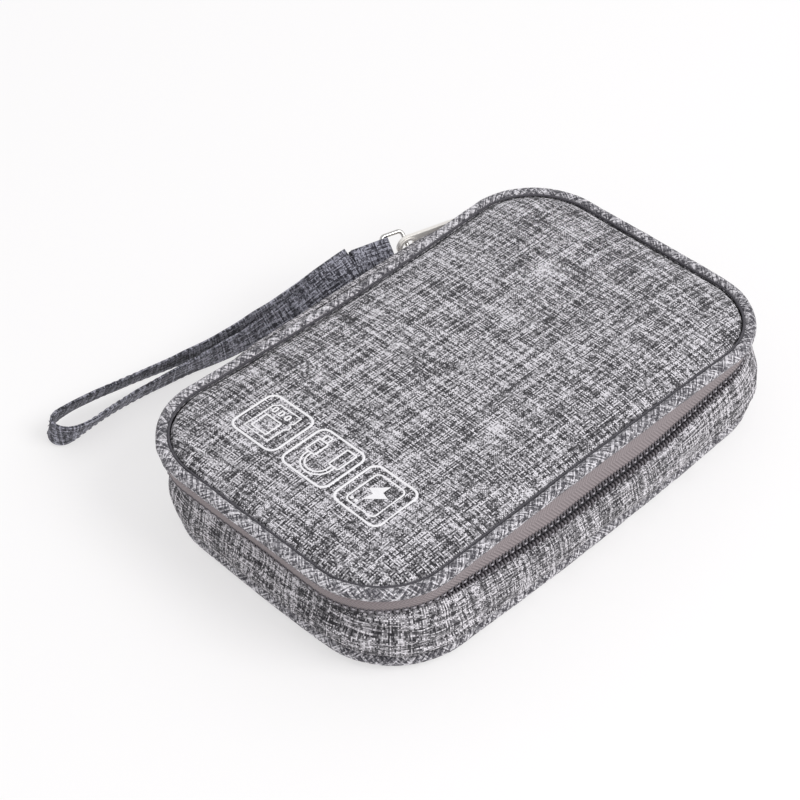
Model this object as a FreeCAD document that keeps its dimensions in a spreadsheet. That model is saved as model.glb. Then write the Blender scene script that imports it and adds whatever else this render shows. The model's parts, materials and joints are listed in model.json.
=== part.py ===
"""Cable organizer pouch: a book-style soft case with a three-sided zipper and a wrist strap on its pull.

The frame has +X across the pouch (the spine is at -X), +Y along it and +Z up. The origin is the middle of the
resting face. The tray lies on the table, the lid hinges on the seam above the spine, and the zipper's slider
runs round the corner at (-X, +Y), carrying its pull, a ring and the strap.
"""
import FreeCAD
import Part
import Sketcher
import math
import os
import re

Vector = FreeCAD.Vector
UP = Vector(0, 0, 1)

# Driving sizes in millimetres: alias, value, what it is.
SIZES = [
    ("case_length", 185.0, "over the lid's piping, along Y"),
    ("case_width", 113.0, "over the lid's piping, along X"),
    ("corner_radius", 28.5, "outer corner of the piping, seen from above"),
    ("rim_height", 33.5, "height of the lid piping's middle"),
    ("base_rim_height", 3.8, "height of the tray piping's middle"),
    ("zip_height", 26.0, "height of the line where the two coils meet"),
    ("piping_diameter", 4.0, "bias-bound cord"),
    ("clearance", 0.3, "gap between sewn layers"),
    ("lid_crown", 3.1, "rise of the lid panel over its seam"),
    ("crown_run", 14.0, "how far the crown takes to rise"),
    ("base_crown", 3.5, "depth of the bottom panel under its seam"),
    ("base_run", 6.0, "how far the bottom panel takes to flatten"),
    ("foam_thickness", 2.2, "padding sheet"),
    ("lining_thickness", 0.6, "woven lining"),
    ("tape_thickness", 0.8, "zipper tape"),
    ("tape_inset", 1.2, "the tape stands this far inside the rim"),
    ("tape_height", 5.2, "visible height of the tray's tape"),
    ("coil_height", 1.8, "one row of the coil"),
    ("coil_depth", 1.6, "coil, through the wall"),
    ("coil_gap", 0.8, "gap between the two rows for the slider's neck"),
    ("gusset_thickness", 1.2, "outer fabric of the tray wall"),
    ("gusset_bulge", 1.7, "how far the tray wall swells past the rim"),
    ("gusset_drop", 3.7, "wall's hem under the zipper line"),
    ("wall_pad_thickness", 1.6, "padding and lining inside the tray wall"),
    ("spine_end_inset", 4.5, "each end of the spine stops this far before the corner"),
    ("spine_thickness", 1.4, "outer fabric of the spine"),
    ("spine_pad_thickness", 1.6, "padding of the spine"),
    ("spine_top_gap", 2.4, "spine's top edge under the rim's middle"),
    ("hinge_rise", 1.0, "lid hinge line over the rim's middle"),
    ("slider_length", 9.0, "along the zipper"),
    ("slider_width", 6.4, "across the zipper"),
    ("plate_thickness", 1.1, "one plate of the slider"),
    ("plate_gap", 0.4, "front plate to coil"),
    ("neck_thickness", 0.3, "slider's neck in the gap between the coils"),
    ("neck_length", 3.0, "slider's neck, along the zipper"),
    ("bridge_rise", 3.8, "bridge over the front plate"),
    ("bridge_wire", 1.1, "bridge, across its bend"),
    ("bridge_depth", 2.0, "bridge, across the zipper"),
    ("bridge_span", 7.2, "bridge over its feet"),
    ("pull_length", 26.0, "pin to the middle of the eye"),
    ("pull_root_width", 5.6, "pull at its pin"),
    ("pull_eye_width", 8.0, "pull round its eye"),
    ("pull_thickness", 1.3, "flat metal"),
    ("pull_lean", 13.0, "degrees that the pull stands out from the wall"),
    ("pin_diameter", 1.2, "bar of the pull under the bridge"),
    ("pin_offset", 1.6, "pin's axis over the front plate"),
    ("window_length", 4.9, "slot in the pull behind its pin"),
    ("eye_diameter", 5.0, "hole for the ring"),
    ("eye_rim", 1.0, "raised rim round the eye"),
    ("eye_rim_rise", 0.35, "height of that rim"),
    ("ring_length", 8.0, "eye to the strap's bar, middle to middle"),
    ("ring_width", 11.0, "side bar to side bar, middle to middle"),
    ("ring_wire", 1.5, "wire of the ring"),
    ("ring_bend", 1.5, "ring's corners, to the middle of the wire"),
    ("ring_lean", 16.0, "degrees that the ring points out from the wall"),
    ("ring_tilt", 40.0, "degrees that the ring is rolled about the strap's line"),
    ("strap_width", 10.0, "folded and stitched tape"),
    ("strap_thickness", 1.8, "two layers of fabric"),
    ("strap_end_width", 7.6, "fold round the ring"),
    ("strap_end_height", 5.4, "fold, over the ring's wire"),
    ("strap_end_length", 12.0, "ring's bar to the end of the fold"),
    ("loop_width", 13.0, "inside of one elastic loop"),
    ("loop_count", 5, "elastic loops in a row"),
    ("loop_pitch", 19.0, "middle to middle"),
    ("elastic_width", 30.0, "elastic band, along each loop's tunnel"),
    ("elastic_thickness", 1.2, "elastic band"),
    ("elastic_from_middle", 25.0, "row of loops, along Y"),
    ("pocket_mesh_thickness", 0.5, "mesh of both pockets"),
    ("pocket_binding_width", 6.0, "elastic binding on a pocket's mouth"),
    ("pocket_binding_thickness", 1.3, "elastic binding"),
    ("lid_pocket_mouth", 28.0, "lid pocket's mouth, along Y"),
    ("base_pocket_mouth", -32.0, "tray pocket's mouth, along Y"),
    ("icon_size", 18.6, "printed frame, outside"),
    ("icon_pitch", 21.9, "frame to frame"),
    ("icon_radius", 3.6, "corner of a frame"),
    ("icon_stroke", 0.7, "printed line"),
    ("icon_from_middle", 59.6, "row of frames, along Y"),
    ("icon_shift", -2.6, "row of frames, along X"),
    ("print_thickness", 0.1, "ink"),
    ("tack_width", 1.6, "bar tack at a spine end"),
    ("tack_height", 5.0, "bar tack"),
    ("thread_thickness", 0.4, "sewing thread"),
]

doc = FreeCAD.newDocument("CablePouch")
sheet = doc.addObject("Spreadsheet::Sheet", "Sizes")
for row, (alias, number, note) in enumerate(SIZES, start=1):
    sheet.set(f"A{row}", note)
    sheet.set(f"B{row}", str(number))
    sheet.setAlias(f"B{row}", alias)
doc.recompute()

ALIASES = {alias for alias, _, _ in SIZES}
nodes = []


def bound(text):
    """Turns 'case_width - 2 * clearance' into an expression on the sheet."""
    def on_sheet(match):
        word = match.group()
        return "Sizes." + word if word in ALIASES else word
    return re.sub(r"[a-z_]+", on_sheet, text)


def value(text):
    """The number that an expression gives now."""
    return float(sheet.evalExpression(text))


def bind(item, **settings):
    """Binds properties to the sheet; two underscores stand for a dot."""
    for name, text in settings.items():
        item.setExpression(name.replace("__", "."), bound(text))


# ---- named places, as expressions ----
PANEL_INSET = "(piping_diameter + clearance)"
PANEL_WIDTH = f"(case_width - 2 * {PANEL_INSET})"
PANEL_LENGTH = f"(case_length - 2 * {PANEL_INSET})"
PANEL_RADIUS = f"(corner_radius - {PANEL_INSET})"
TAPE_WIDTH = "(case_width - 2 * tape_inset)"
TAPE_LENGTH = "(case_length - 2 * tape_inset)"
TAPE_RADIUS = "(corner_radius - tape_inset)"
COIL_OUT = "(tape_inset - (coil_depth - tape_thickness) / 2)"
COIL_WIDTH = f"(case_width - 2 * {COIL_OUT})"
COIL_LENGTH = f"(case_length - 2 * {COIL_OUT})"
COIL_RADIUS = f"(corner_radius - {COIL_OUT})"
UPPER_COIL_LOW = "(zip_height + coil_gap / 2)"
LOWER_COIL_LOW = "(zip_height - coil_gap / 2 - coil_height)"
WALL_LOW = "(base_rim_height + piping_diameter / 2 + clearance)"
WALL_TOP = "(zip_height - gusset_drop)"
PAD_OUT = "(tape_inset + tape_thickness + clearance)"
FLOOR_TOP = "(base_rim_height + 2 * clearance + foam_thickness + lining_thickness)"
LID_LINING_LOW = "(rim_height - 2 * clearance - foam_thickness - lining_thickness)"
SPINE_FACE = "(case_width / 2 + clearance)"
SPINE_HALF = "(case_length / 2 - corner_radius - spine_end_inset)"
LINING_INSET = f"({PAD_OUT} + wall_pad_thickness + clearance)"
PLATE_IN = f"({COIL_WIDTH} / 2 + plate_gap)"
PLATE_OUT = f"({PLATE_IN} + plate_thickness)"
CORNER_X = "(corner_radius - case_width / 2)"
CORNER_Y = "(case_length / 2 - corner_radius)"
PIN_X = f"({PLATE_OUT} + pin_offset)"
EYE_X = f"({PIN_X} + pull_length * sin(pull_lean))"
EYE_Y = f"({CORNER_Y} - pull_length * cos(pull_lean))"


# ---- sketches ----
def origin_plane(body, role):
    """A body's own XY_Plane, XZ_Plane or YZ_Plane."""
    return next(item for item in body.Origin.OriginFeatures if item.Role == role)


def new_body(label):
    """A body whose label is its node's name."""
    body = doc.addObject("PartDesign::Body", "Body_" + label)
    body.Label = label
    nodes.append(body)
    return body


def new_sketch(body, name, role="XY_Plane", offset="0"):
    """A sketch on one of the body's origin planes, moved along its normal by an expression."""
    sketch = body.newObject("Sketcher::SketchObject", name)
    sketch.AttachmentSupport = [(origin_plane(body, role), "")]
    sketch.MapMode = "FlatFace"
    bind(sketch, AttachmentOffset__Base__z=offset)
    return sketch


def dimension(sketch, name, text, kind, *points):
    """A named constraint that takes its number from the sheet."""
    index = sketch.addConstraint(Sketcher.Constraint(kind, *points, value(text)))
    sketch.renameConstraint(index, name)
    sketch.setExpression("Constraints." + name, bound(text))


def rounded_outline(sketch, name, width, length, radius):
    """A rounded rectangle about the sketch's origin."""
    a, b, r = value(width) / 2, value(length) / 2, value(radius)
    corners = [Vector(x * (a - r), y * (b - r), 0) for x, y in ((1, -1), (1, 1), (-1, 1), (-1, -1))]
    first = len(sketch.Geometry)
    for turn, centre in enumerate(corners):
        start = math.radians(90 * turn - 90)
        end = start + math.pi / 2
        before = corners[turn - 1] + Vector(math.cos(start), math.sin(start), 0) * r
        after = centre + Vector(math.cos(start), math.sin(start), 0) * r
        sketch.addGeometry(Part.LineSegment(before, after), False)
        sketch.addGeometry(Part.ArcOfCircle(Part.Circle(centre, UP, r), start, end), False)
    lines = [first + 2 * i for i in range(4)]
    arcs = [first + 2 * i + 1 for i in range(4)]
    for i in range(4):
        sketch.addConstraint(Sketcher.Constraint("Tangent", lines[i], 2, arcs[i], 1))
        sketch.addConstraint(Sketcher.Constraint("Tangent", arcs[i], 2, lines[(i + 1) % 4], 1))
        sketch.addConstraint(Sketcher.Constraint("Vertical" if i % 2 else "Horizontal", lines[i]))
    for i in range(1, 4):
        sketch.addConstraint(Sketcher.Constraint("Equal", arcs[0], arcs[i]))
    dimension(sketch, name + "Radius", radius, "Radius", arcs[0])
    dimension(sketch, name + "Front", f"-{length} / 2", "DistanceY", -1, 1, lines[0], 1)
    dimension(sketch, name + "Right", f"{width} / 2", "DistanceX", -1, 1, lines[1], 1)
    dimension(sketch, name + "Back", f"{length} / 2", "DistanceY", -1, 1, lines[2], 1)
    dimension(sketch, name + "Left", f"-{width} / 2", "DistanceX", -1, 1, lines[3], 1)


def rectangle(sketch, name, left, right, low, high):
    """An upright rectangle whose four sides are expressions."""
    x0, x1, y0, y1 = value(left), value(right), value(low), value(high)
    corners = [Vector(x0, y0, 0), Vector(x1, y0, 0), Vector(x1, y1, 0), Vector(x0, y1, 0)]
    first = len(sketch.Geometry)
    for i in range(4):
        sketch.addGeometry(Part.LineSegment(corners[i], corners[(i + 1) % 4]), False)
    for i in range(4):
        sketch.addConstraint(Sketcher.Constraint("Coincident", first + i, 2, first + (i + 1) % 4, 1))
        sketch.addConstraint(Sketcher.Constraint("Vertical" if i % 2 else "Horizontal", first + i))
    dimension(sketch, name + "Low", low, "DistanceY", -1, 1, first, 1)
    dimension(sketch, name + "Right", right, "DistanceX", -1, 1, first + 1, 1)
    dimension(sketch, name + "High", high, "DistanceY", -1, 1, first + 2, 1)
    dimension(sketch, name + "Left", left, "DistanceX", -1, 1, first + 3, 1)


# ---- features ----
def pad(body, sketch, height):
    """Pads a sketch along its normal."""
    feature = body.newObject("PartDesign::Pad", sketch.Name + "Pad")
    feature.Profile = sketch
    bind(feature, Length=height)
    sketch.Visibility = False
    return feature


def cut_upwards(body, sketch, height):
    """Pockets a sketch along its normal and makes sure that it took something away."""
    doc.recompute()
    before = body.Shape.Volume
    feature = body.newObject("PartDesign::Pocket", sketch.Name + "Pocket")
    feature.Profile = sketch
    feature.Reversed = True
    bind(feature, Length=height)
    doc.recompute()
    if body.Shape.Volume >= before:
        raise RuntimeError(sketch.Name + " cuts nothing")
    return feature


def loft(body, kind, name, sections):
    """A ruled loft through rounded outlines: (height, width, length, radius) from the bottom up."""
    sketches = []
    for index, (height, width, length, radius) in enumerate(sections):
        sketch = new_sketch(body, f"{name}{index}", offset=height)
        rounded_outline(sketch, f"{name}Outline", width, length, radius)
        sketches.append(sketch)
    feature = body.newObject("PartDesign::" + kind, name)
    feature.Profile = sketches[0]
    feature.Sections = sketches[1:]
    feature.Ruled = True
    return feature


def slab(label, width, length, radius, low, thickness):
    """A flat sheet with rounded corners."""
    body = new_body(label)
    sketch = new_sketch(body, label + "_plan")
    rounded_outline(sketch, "Edge", width, length, radius)
    pad(body, sketch, thickness)
    bind(body, Placement__Base__z=low)
    return body


def open_spine_side(body, label, height):
    """Opens a band where the spine stands, at -X."""
    sketch = new_sketch(body, label + "_opening")
    half = f"({SPINE_HALF} + clearance)"
    rectangle(sketch, "Gap", "-case_width", f"-{TAPE_WIDTH} / 4", f"-{half}", half)
    cut_upwards(body, sketch, height)


def band(label, width, length, radius, wall, low, height):
    """An upright band round three sides and the four corners."""
    body = new_body(label)
    sketch = new_sketch(body, label + "_plan")
    rounded_outline(sketch, "Outer", width, length, radius)
    inner_size = [f"({size} - 2 * {wall})" for size in (width, length)]
    rounded_outline(sketch, "Inner", *inner_size, f"({radius} - {wall})")
    pad(body, sketch, height)
    open_spine_side(body, label, height)
    bind(body, Placement__Base__z=low)
    return body


def block(label, left, right, front, back, low, high):
    """A Part box between six expressions."""
    box = doc.addObject("Part::Box", "Box_" + label)
    box.Label = label
    bind(box, Length=f"({right}) - ({left})", Width=f"({back}) - ({front})", Height=f"({high}) - ({low})")
    bind(box, Placement__Base__x=left, Placement__Base__y=front, Placement__Base__z=low)
    return box


def fuse(label, pieces):
    """One node from pieces that touch."""
    joined = doc.addObject("Part::MultiFuse", "Fuse_" + label)
    joined.Label = label
    joined.Shapes = pieces
    joined.Refine = True
    nodes.append(joined)
    return joined


def node_block(label, *limits):
    """A box that is a node of its own."""
    box = block(label, *limits)
    nodes.append(box)
    return box


# ---- piping: four straight cords and four quarter turns ----
def piping(label, height):
    """The bound cord round a panel's seam."""
    cord_radius = "piping_diameter / 2"
    centre_radius = "(corner_radius - piping_diameter / 2)"
    straight_x = "(case_width / 2 - corner_radius)"
    straight_y = "(case_length / 2 - corner_radius)"
    pieces = []
    for sign, turn in ((1, 0), (-1, 180)):
        for along_y in (True, False):
            name = f"{label}_{'side' if along_y else 'end'}_{turn}"
            rod = doc.addObject("Part::Cylinder", name)
            half = straight_y if along_y else straight_x
            bind(rod, Radius=cord_radius, Height=f"2 * {half}")
            axis = Vector(-1, 0, 0) if along_y else Vector(0, 1, 0)
            rod.Placement = FreeCAD.Placement(Vector(), FreeCAD.Rotation(axis, 90))
            reach = f"{sign} * ({'case_width' if along_y else 'case_length'} / 2 - piping_diameter / 2)"
            place_x, place_y = (reach, f"-{half}") if along_y else (f"-{half}", reach)
            bind(rod, Placement__Base__x=place_x, Placement__Base__y=place_y, Placement__Base__z=height)
            pieces.append(rod)
    for quarter, (sign_x, sign_y) in enumerate(((1, 1), (-1, 1), (-1, -1), (1, -1))):
        turn = doc.addObject("Part::Torus", f"{label}_corner_{quarter}")
        turn.Angle3 = 90
        turn.Placement = FreeCAD.Placement(Vector(), FreeCAD.Rotation(UP, 90 * quarter))
        bind(turn, Radius1=centre_radius, Radius2=cord_radius, Placement__Base__z=height)
        bind(turn, Placement__Base__x=f"{sign_x} * {straight_x}")
        bind(turn, Placement__Base__y=f"{sign_y} * {straight_y}")
        pieces.append(turn)
    return fuse(label, pieces)


# ---- lid ----
def lid_panel():
    """Crowned outer fabric of the lid."""
    body = new_body("lid_panel")
    low = "(rim_height + clearance / 2)"
    top_size = [f"({size} - 2 * crown_run)" for size in (PANEL_WIDTH, PANEL_LENGTH)]
    loft(body, "AdditiveLoft", "LidPanelLoft", [
        (low, PANEL_WIDTH, PANEL_LENGTH, PANEL_RADIUS),
        (f"({low} + lid_crown)", *top_size, f"({PANEL_RADIUS} - crown_run)"),
    ])


def lid():
    """The lid: panel, padding, lining, piping and the upper half of the zipper."""
    lid_panel()
    foam_low = "(rim_height - clearance / 2 - foam_thickness)"
    slab("lid_foam", PANEL_WIDTH, PANEL_LENGTH, PANEL_RADIUS, foam_low, "foam_thickness")
    slab("lid_lining", PANEL_WIDTH, PANEL_LENGTH, PANEL_RADIUS, LID_LINING_LOW, "lining_thickness")
    piping("lid_piping", "rim_height")
    tape_low = f"({UPPER_COIL_LOW} + coil_height)"
    tape_top = "(rim_height - piping_diameter / 2 - clearance)"
    band("upper_zip_tape", TAPE_WIDTH, TAPE_LENGTH, TAPE_RADIUS, "tape_thickness",
         tape_low, f"({tape_top} - {tape_low})")
    band("upper_zip_coil", COIL_WIDTH, COIL_LENGTH, COIL_RADIUS, "coil_depth", UPPER_COIL_LOW, "coil_height")


def pocket(label, front, back, low):
    """A flat mesh pocket with rounded corners at one end of the lining."""
    body = new_body(label)
    sketch = new_sketch(body, label + "_plan")
    rounded_outline(sketch, "Edge", f"({PANEL_WIDTH} - 2 * wall_pad_thickness)",
                    f"({PANEL_LENGTH} - 2 * wall_pad_thickness)", f"({PANEL_RADIUS} - wall_pad_thickness)")
    pad(body, sketch, "pocket_mesh_thickness")
    keep_out = new_sketch(body, label + "_mouth")
    rectangle(keep_out, "Off", "-case_width", "case_width", front, back)
    cut_upwards(body, keep_out, "pocket_mesh_thickness")
    bind(body, Placement__Base__z=low)
    return body


def binding(label, mouth, low):
    """The elastic binding on a pocket's mouth."""
    half = f"({PANEL_WIDTH} / 2 - wall_pad_thickness)"
    node_block(label, f"-{half}", half, mouth, f"({mouth} + pocket_binding_width)",
               low, f"({low} + pocket_binding_thickness)")


def pockets():
    """One mesh pocket under the lid and one on the tray's floor."""
    mesh_low = f"({LID_LINING_LOW} - clearance - pocket_mesh_thickness)"
    pocket("lid_mesh_pocket", "lid_pocket_mouth - clearance", "case_length", mesh_low)
    lid_edge_low = f"({LID_LINING_LOW} - clearance - pocket_binding_thickness)"
    binding("lid_pocket_binding", "lid_pocket_mouth", lid_edge_low)
    floor_low = f"({FLOOR_TOP} + clearance)"
    pocket("tray_mesh_pocket", "base_pocket_mouth - clearance", "case_length", floor_low)
    binding("tray_pocket_binding", "base_pocket_mouth", floor_low)


def printed_frames():
    """Three rounded square frames printed on the lid, up being +Y."""
    low = "(rim_height + clearance / 2 + lid_crown)"
    frames = []
    for index in range(3):
        name = f"icon_frame_{index}"
        body = doc.addObject("PartDesign::Body", name)
        sketch = new_sketch(body, name + "_plan")
        inner = "(icon_size - 2 * icon_stroke)"
        rounded_outline(sketch, "Outer", "icon_size", "icon_size", "icon_radius")
        rounded_outline(sketch, "Inner", inner, inner, "(icon_radius - icon_stroke)")
        pad(body, sketch, "print_thickness")
        bind(body, Placement__Base__x=f"icon_shift + {index - 1} * icon_pitch",
             Placement__Base__y="-icon_from_middle", Placement__Base__z=low)
        frames.append(body)
    group = doc.addObject("Part::Compound", "PrintedIcons")
    group.Label = "printed_icons"
    group.Links = frames
    nodes.append(group)


# ---- tray ----
def tray_wall():
    """Outer fabric of the tray wall, swelling between its seam and its hem."""
    body = new_body("tray_gusset")
    middle = f"(({WALL_LOW} + {WALL_TOP}) / 2)"
    half_bulge = "(gusset_bulge / 4)"
    heights = ((WALL_LOW, "0"), (middle, "gusset_bulge"), (WALL_TOP, half_bulge))
    skins = (("AdditiveLoft", "WallOuter", "0"), ("SubtractiveLoft", "WallInner", "gusset_thickness"))
    for kind, name, inset in skins:
        sections = []
        for height, swell in heights:
            sizes = [f"({size} + 2 * ({swell} - {inset}))" for size in ("case_width", "case_length")]
            sections.append((height, *sizes, f"(corner_radius + {swell} - {inset})"))
        loft(body, kind, name, sections)
    open_spine_side(body, "tray_gusset", WALL_TOP)


def tray():
    """The tray: bottom panel, padding, lining, piping, wall and the lower half of the zipper."""
    body = new_body("base_panel")
    low_size = [f"({size} - 2 * base_run)" for size in (PANEL_WIDTH, PANEL_LENGTH)]
    loft(body, "AdditiveLoft", "BasePanelLoft", [
        ("0", *low_size, f"({PANEL_RADIUS} - base_run)"),
        ("base_crown", PANEL_WIDTH, PANEL_LENGTH, PANEL_RADIUS),
    ])
    slab("base_foam", PANEL_WIDTH, PANEL_LENGTH, PANEL_RADIUS, "base_crown + clearance", "foam_thickness")
    slab("base_lining", f"(case_width - 2 * {LINING_INSET})", f"(case_length - 2 * {LINING_INSET})",
         f"(corner_radius - {LINING_INSET})", f"({FLOOR_TOP} - lining_thickness)", "lining_thickness")
    piping("base_piping", "base_rim_height")
    tray_wall()
    pad_low = f"({FLOOR_TOP} + clearance)"
    band("tray_wall_lining", f"(case_width - 2 * {PAD_OUT})", f"(case_length - 2 * {PAD_OUT})",
         f"(corner_radius - {PAD_OUT})", "wall_pad_thickness", pad_low, f"({WALL_TOP} - {pad_low})")
    tape_top = LOWER_COIL_LOW
    band("lower_zip_tape", TAPE_WIDTH, TAPE_LENGTH, TAPE_RADIUS, "tape_thickness",
         f"({tape_top} - tape_height)", "tape_height")
    band("lower_zip_coil", COIL_WIDTH, COIL_LENGTH, COIL_RADIUS, "coil_depth", LOWER_COIL_LOW, "coil_height")


def spine():
    """The spine's fabric, padding and lining, between the two pipings at -X."""
    half = SPINE_HALF
    top = "(rim_height - spine_top_gap)"
    outer = f"(-{SPINE_FACE} - spine_thickness)"
    node_block("spine_panel", outer, f"-{SPINE_FACE}", f"-{half}", half, "base_rim_height", top)
    foam_out = "(clearance - case_width / 2)"
    foam_in = f"({foam_out} + spine_pad_thickness)"
    node_block("spine_foam", foam_out, foam_in, f"-{half}", half, WALL_LOW, top)
    lining_out = f"({foam_in} + clearance / 2)"
    node_block("spine_lining", lining_out, f"({lining_out} + lining_thickness)",
               f"-{half}", half, f"({FLOOR_TOP} + clearance)", top)


def bar_tacks():
    """Thread bars that lock the ends of the spine seam, one at each end."""
    face = f"(-{SPINE_FACE} - spine_thickness)"
    top = "(rim_height - spine_top_gap - clearance)"
    tacks = []
    for index, sign in enumerate((-1, 1)):
        middle = f"{sign} * ({SPINE_HALF} - tack_width)"
        tacks.append(block(f"bar_tack_{index}", f"{face} - thread_thickness", face,
                           f"{middle} - tack_width / 2", f"{middle} + tack_width / 2",
                           f"{top} - tack_height", top))
    group = doc.addObject("Part::Compound", "BarTacks")
    group.Label = "bar_tacks"
    group.Links = tacks
    nodes.append(group)


def elastic_loops():
    """A row of elastic loops on the tray's floor: one arch, repeated along Y."""
    body = new_body("elastic_loops")
    sketch = new_sketch(body, "elastic_arch", "YZ_Plane", "-elastic_width / 2")
    inner = value("loop_width") / 2
    thick = value("elastic_thickness")
    outer = inner + thick
    half = value("loop_pitch") / 2
    shoulder = math.sqrt(outer ** 2 - thick ** 2)
    angle = math.asin(thick / outer)
    corners = [Vector(-inner, 0), Vector(-half, 0), Vector(-half, thick), Vector(-shoulder, thick)]
    mirrored = [Vector(-corner.x, corner.y) for corner in reversed(corners)]
    for run in (corners, mirrored):
        for i in range(3):
            sketch.addGeometry(Part.LineSegment(run[i], run[i + 1]), False)
    outer_arc = Part.ArcOfCircle(Part.Circle(Vector(), UP, outer), angle, math.pi - angle)
    inner_arc = Part.ArcOfCircle(Part.Circle(Vector(), UP, inner), 0, math.pi)
    sketch.addGeometry(outer_arc, False)
    sketch.addGeometry(inner_arc, False)
    left_joins = ((0, 2, 1, 1), (1, 2, 2, 1), (2, 2, 6, 2), (7, 2, 0, 1))
    right_joins = ((6, 1, 3, 1), (3, 2, 4, 1), (4, 2, 5, 1), (5, 2, 7, 1))
    for first, end, second, start in left_joins + right_joins:
        sketch.addConstraint(Sketcher.Constraint("Coincident", first, end, second, start))
    for line in (0, 2, 3, 5):
        sketch.addConstraint(Sketcher.Constraint("Horizontal", line))
    for line in (1, 4):
        sketch.addConstraint(Sketcher.Constraint("Vertical", line))
    for arc in (6, 7):
        sketch.addConstraint(Sketcher.Constraint("Coincident", arc, 3, -1, 1))
    sketch.addConstraint(Sketcher.Constraint("PointOnObject", 0, 1, -1))
    dimension(sketch, "InnerRadius", "loop_width / 2", "Radius", 7)
    dimension(sketch, "OuterRadius", "loop_width / 2 + elastic_thickness", "Radius", 6)
    dimension(sketch, "HalfPitchLeft", "-loop_pitch / 2", "DistanceX", -1, 1, 1, 1)
    dimension(sketch, "HalfPitchRight", "loop_pitch / 2", "DistanceX", -1, 1, 4, 1)
    dimension(sketch, "ThicknessLeft", "elastic_thickness", "DistanceY", 1, 1, 1, 2)
    dimension(sketch, "ThicknessRight", "elastic_thickness", "DistanceY", 4, 2, 4, 1)
    sketch.addConstraint(Sketcher.Constraint("PointOnObject", 5, 2, -1))
    arch = pad(body, sketch, "elastic_width")
    row = body.newObject("PartDesign::LinearPattern", "ElasticRow")
    row.Originals = [arch]
    row.Direction = (sketch, ["H_Axis"])
    bind(row, Length="(loop_count - 1) * loop_pitch", Occurrences="loop_count")
    body.Tip = row
    bind(body, Placement__Base__y="elastic_from_middle - (loop_count - 1) * loop_pitch / 2",
         Placement__Base__z=f"({FLOOR_TOP} + clearance)")


# ---- slider, pull and ring ----
def slider():
    """Front plate, a thin neck between the coils, and a short back plate under the upper coil."""
    low = "(zip_height - slider_width / 2)"
    high = "(zip_height + slider_width / 2)"
    ends = (f"{CORNER_Y} - slider_length / 2", f"{CORNER_Y} + slider_length / 2")
    neck_ends = (f"{CORNER_Y} - neck_length / 2", f"{CORNER_Y} + neck_length / 2")
    neck_low = "(zip_height - neck_thickness / 2)"
    neck_top = "(zip_height + neck_thickness / 2)"
    back_out = f"({TAPE_WIDTH} / 2 - coil_depth)"
    back_in = f"({back_out} - plate_thickness)"
    front = block("slider_front", f"-{PLATE_OUT}", f"-{PLATE_IN}", *ends, low, high)
    back = block("slider_back", f"-{back_out}", f"-{back_in}", *ends, low, neck_top)
    neck = block("slider_neck", f"-{PLATE_IN}", f"-{back_out}", *neck_ends, neck_low, neck_top)
    fuse("slider_body", [front, back, neck])


def slider_bridge():
    """The arch over the front plate that holds the pull."""
    body = new_body("slider_bridge")
    sketch = new_sketch(body, "bridge_plan")
    rectangle(sketch, "Outer", f"(-{PLATE_OUT} - bridge_rise)", f"-{PLATE_OUT}",
              f"{CORNER_Y} - bridge_span / 2", f"{CORNER_Y} + bridge_span / 2")
    pad(body, sketch, "bridge_depth")
    hole = new_sketch(body, "bridge_hole")
    rectangle(hole, "Inner", f"(-{PLATE_OUT} - bridge_rise + bridge_wire)", f"-{PLATE_OUT} + clearance",
              f"{CORNER_Y} - bridge_span / 2 + bridge_wire", f"{CORNER_Y} + bridge_span / 2 - bridge_wire")
    cut_upwards(body, hole, "bridge_depth")
    bind(body, Placement__Base__z="zip_height - bridge_depth / 2")


def pull_outline(sketch):
    """Outline of the pull: narrow at its pin, wide and round about its eye, its length along local X."""
    root = value("pull_root_width") / 2
    reach = value("pull_eye_width") / 2
    length = value("pull_length")
    start = -value("pin_diameter") / 2
    points = [Vector(length, -reach), Vector(start, -root), Vector(start, root), Vector(length, reach)]
    for i in range(3):
        sketch.addGeometry(Part.LineSegment(points[i], points[i + 1]), False)
    end = Part.Circle(Vector(length, 0, 0), UP, reach)
    sketch.addGeometry(Part.ArcOfCircle(end, -math.pi / 2, math.pi / 2), False)
    for first, last, second, begin in ((0, 2, 1, 1), (1, 2, 2, 1), (2, 2, 3, 2), (3, 1, 0, 1)):
        sketch.addConstraint(Sketcher.Constraint("Coincident", first, last, second, begin))
    sketch.addConstraint(Sketcher.Constraint("Vertical", 1))
    sketch.addConstraint(Sketcher.Constraint("PointOnObject", 3, 3, -1))
    sketch.addConstraint(Sketcher.Constraint("Vertical", 3, 1, 3, 3))
    sketch.addConstraint(Sketcher.Constraint("Vertical", 3, 2, 3, 3))
    dimension(sketch, "Reach", "pull_length", "DistanceX", -1, 1, 3, 3)
    dimension(sketch, "EyeEnd", "pull_eye_width / 2", "Radius", 3)
    dimension(sketch, "Root", "-pin_diameter / 2", "DistanceX", -1, 1, 1, 1)
    dimension(sketch, "RootLow", "-pull_root_width / 2", "DistanceY", -1, 1, 1, 1)
    dimension(sketch, "RootHigh", "pull_root_width / 2", "DistanceY", -1, 1, 1, 2)


def circle(sketch, name, diameter, along):
    """A circle on the sketch's X axis."""
    index = sketch.addGeometry(Part.Circle(Vector(value(along), 0, 0), UP, value(diameter) / 2), False)
    sketch.addConstraint(Sketcher.Constraint("PointOnObject", index, 3, -1))
    dimension(sketch, name + "Radius", f"{diameter} / 2", "Radius", index)
    dimension(sketch, name + "Along", along, "DistanceX", -1, 1, index, 3)


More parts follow.
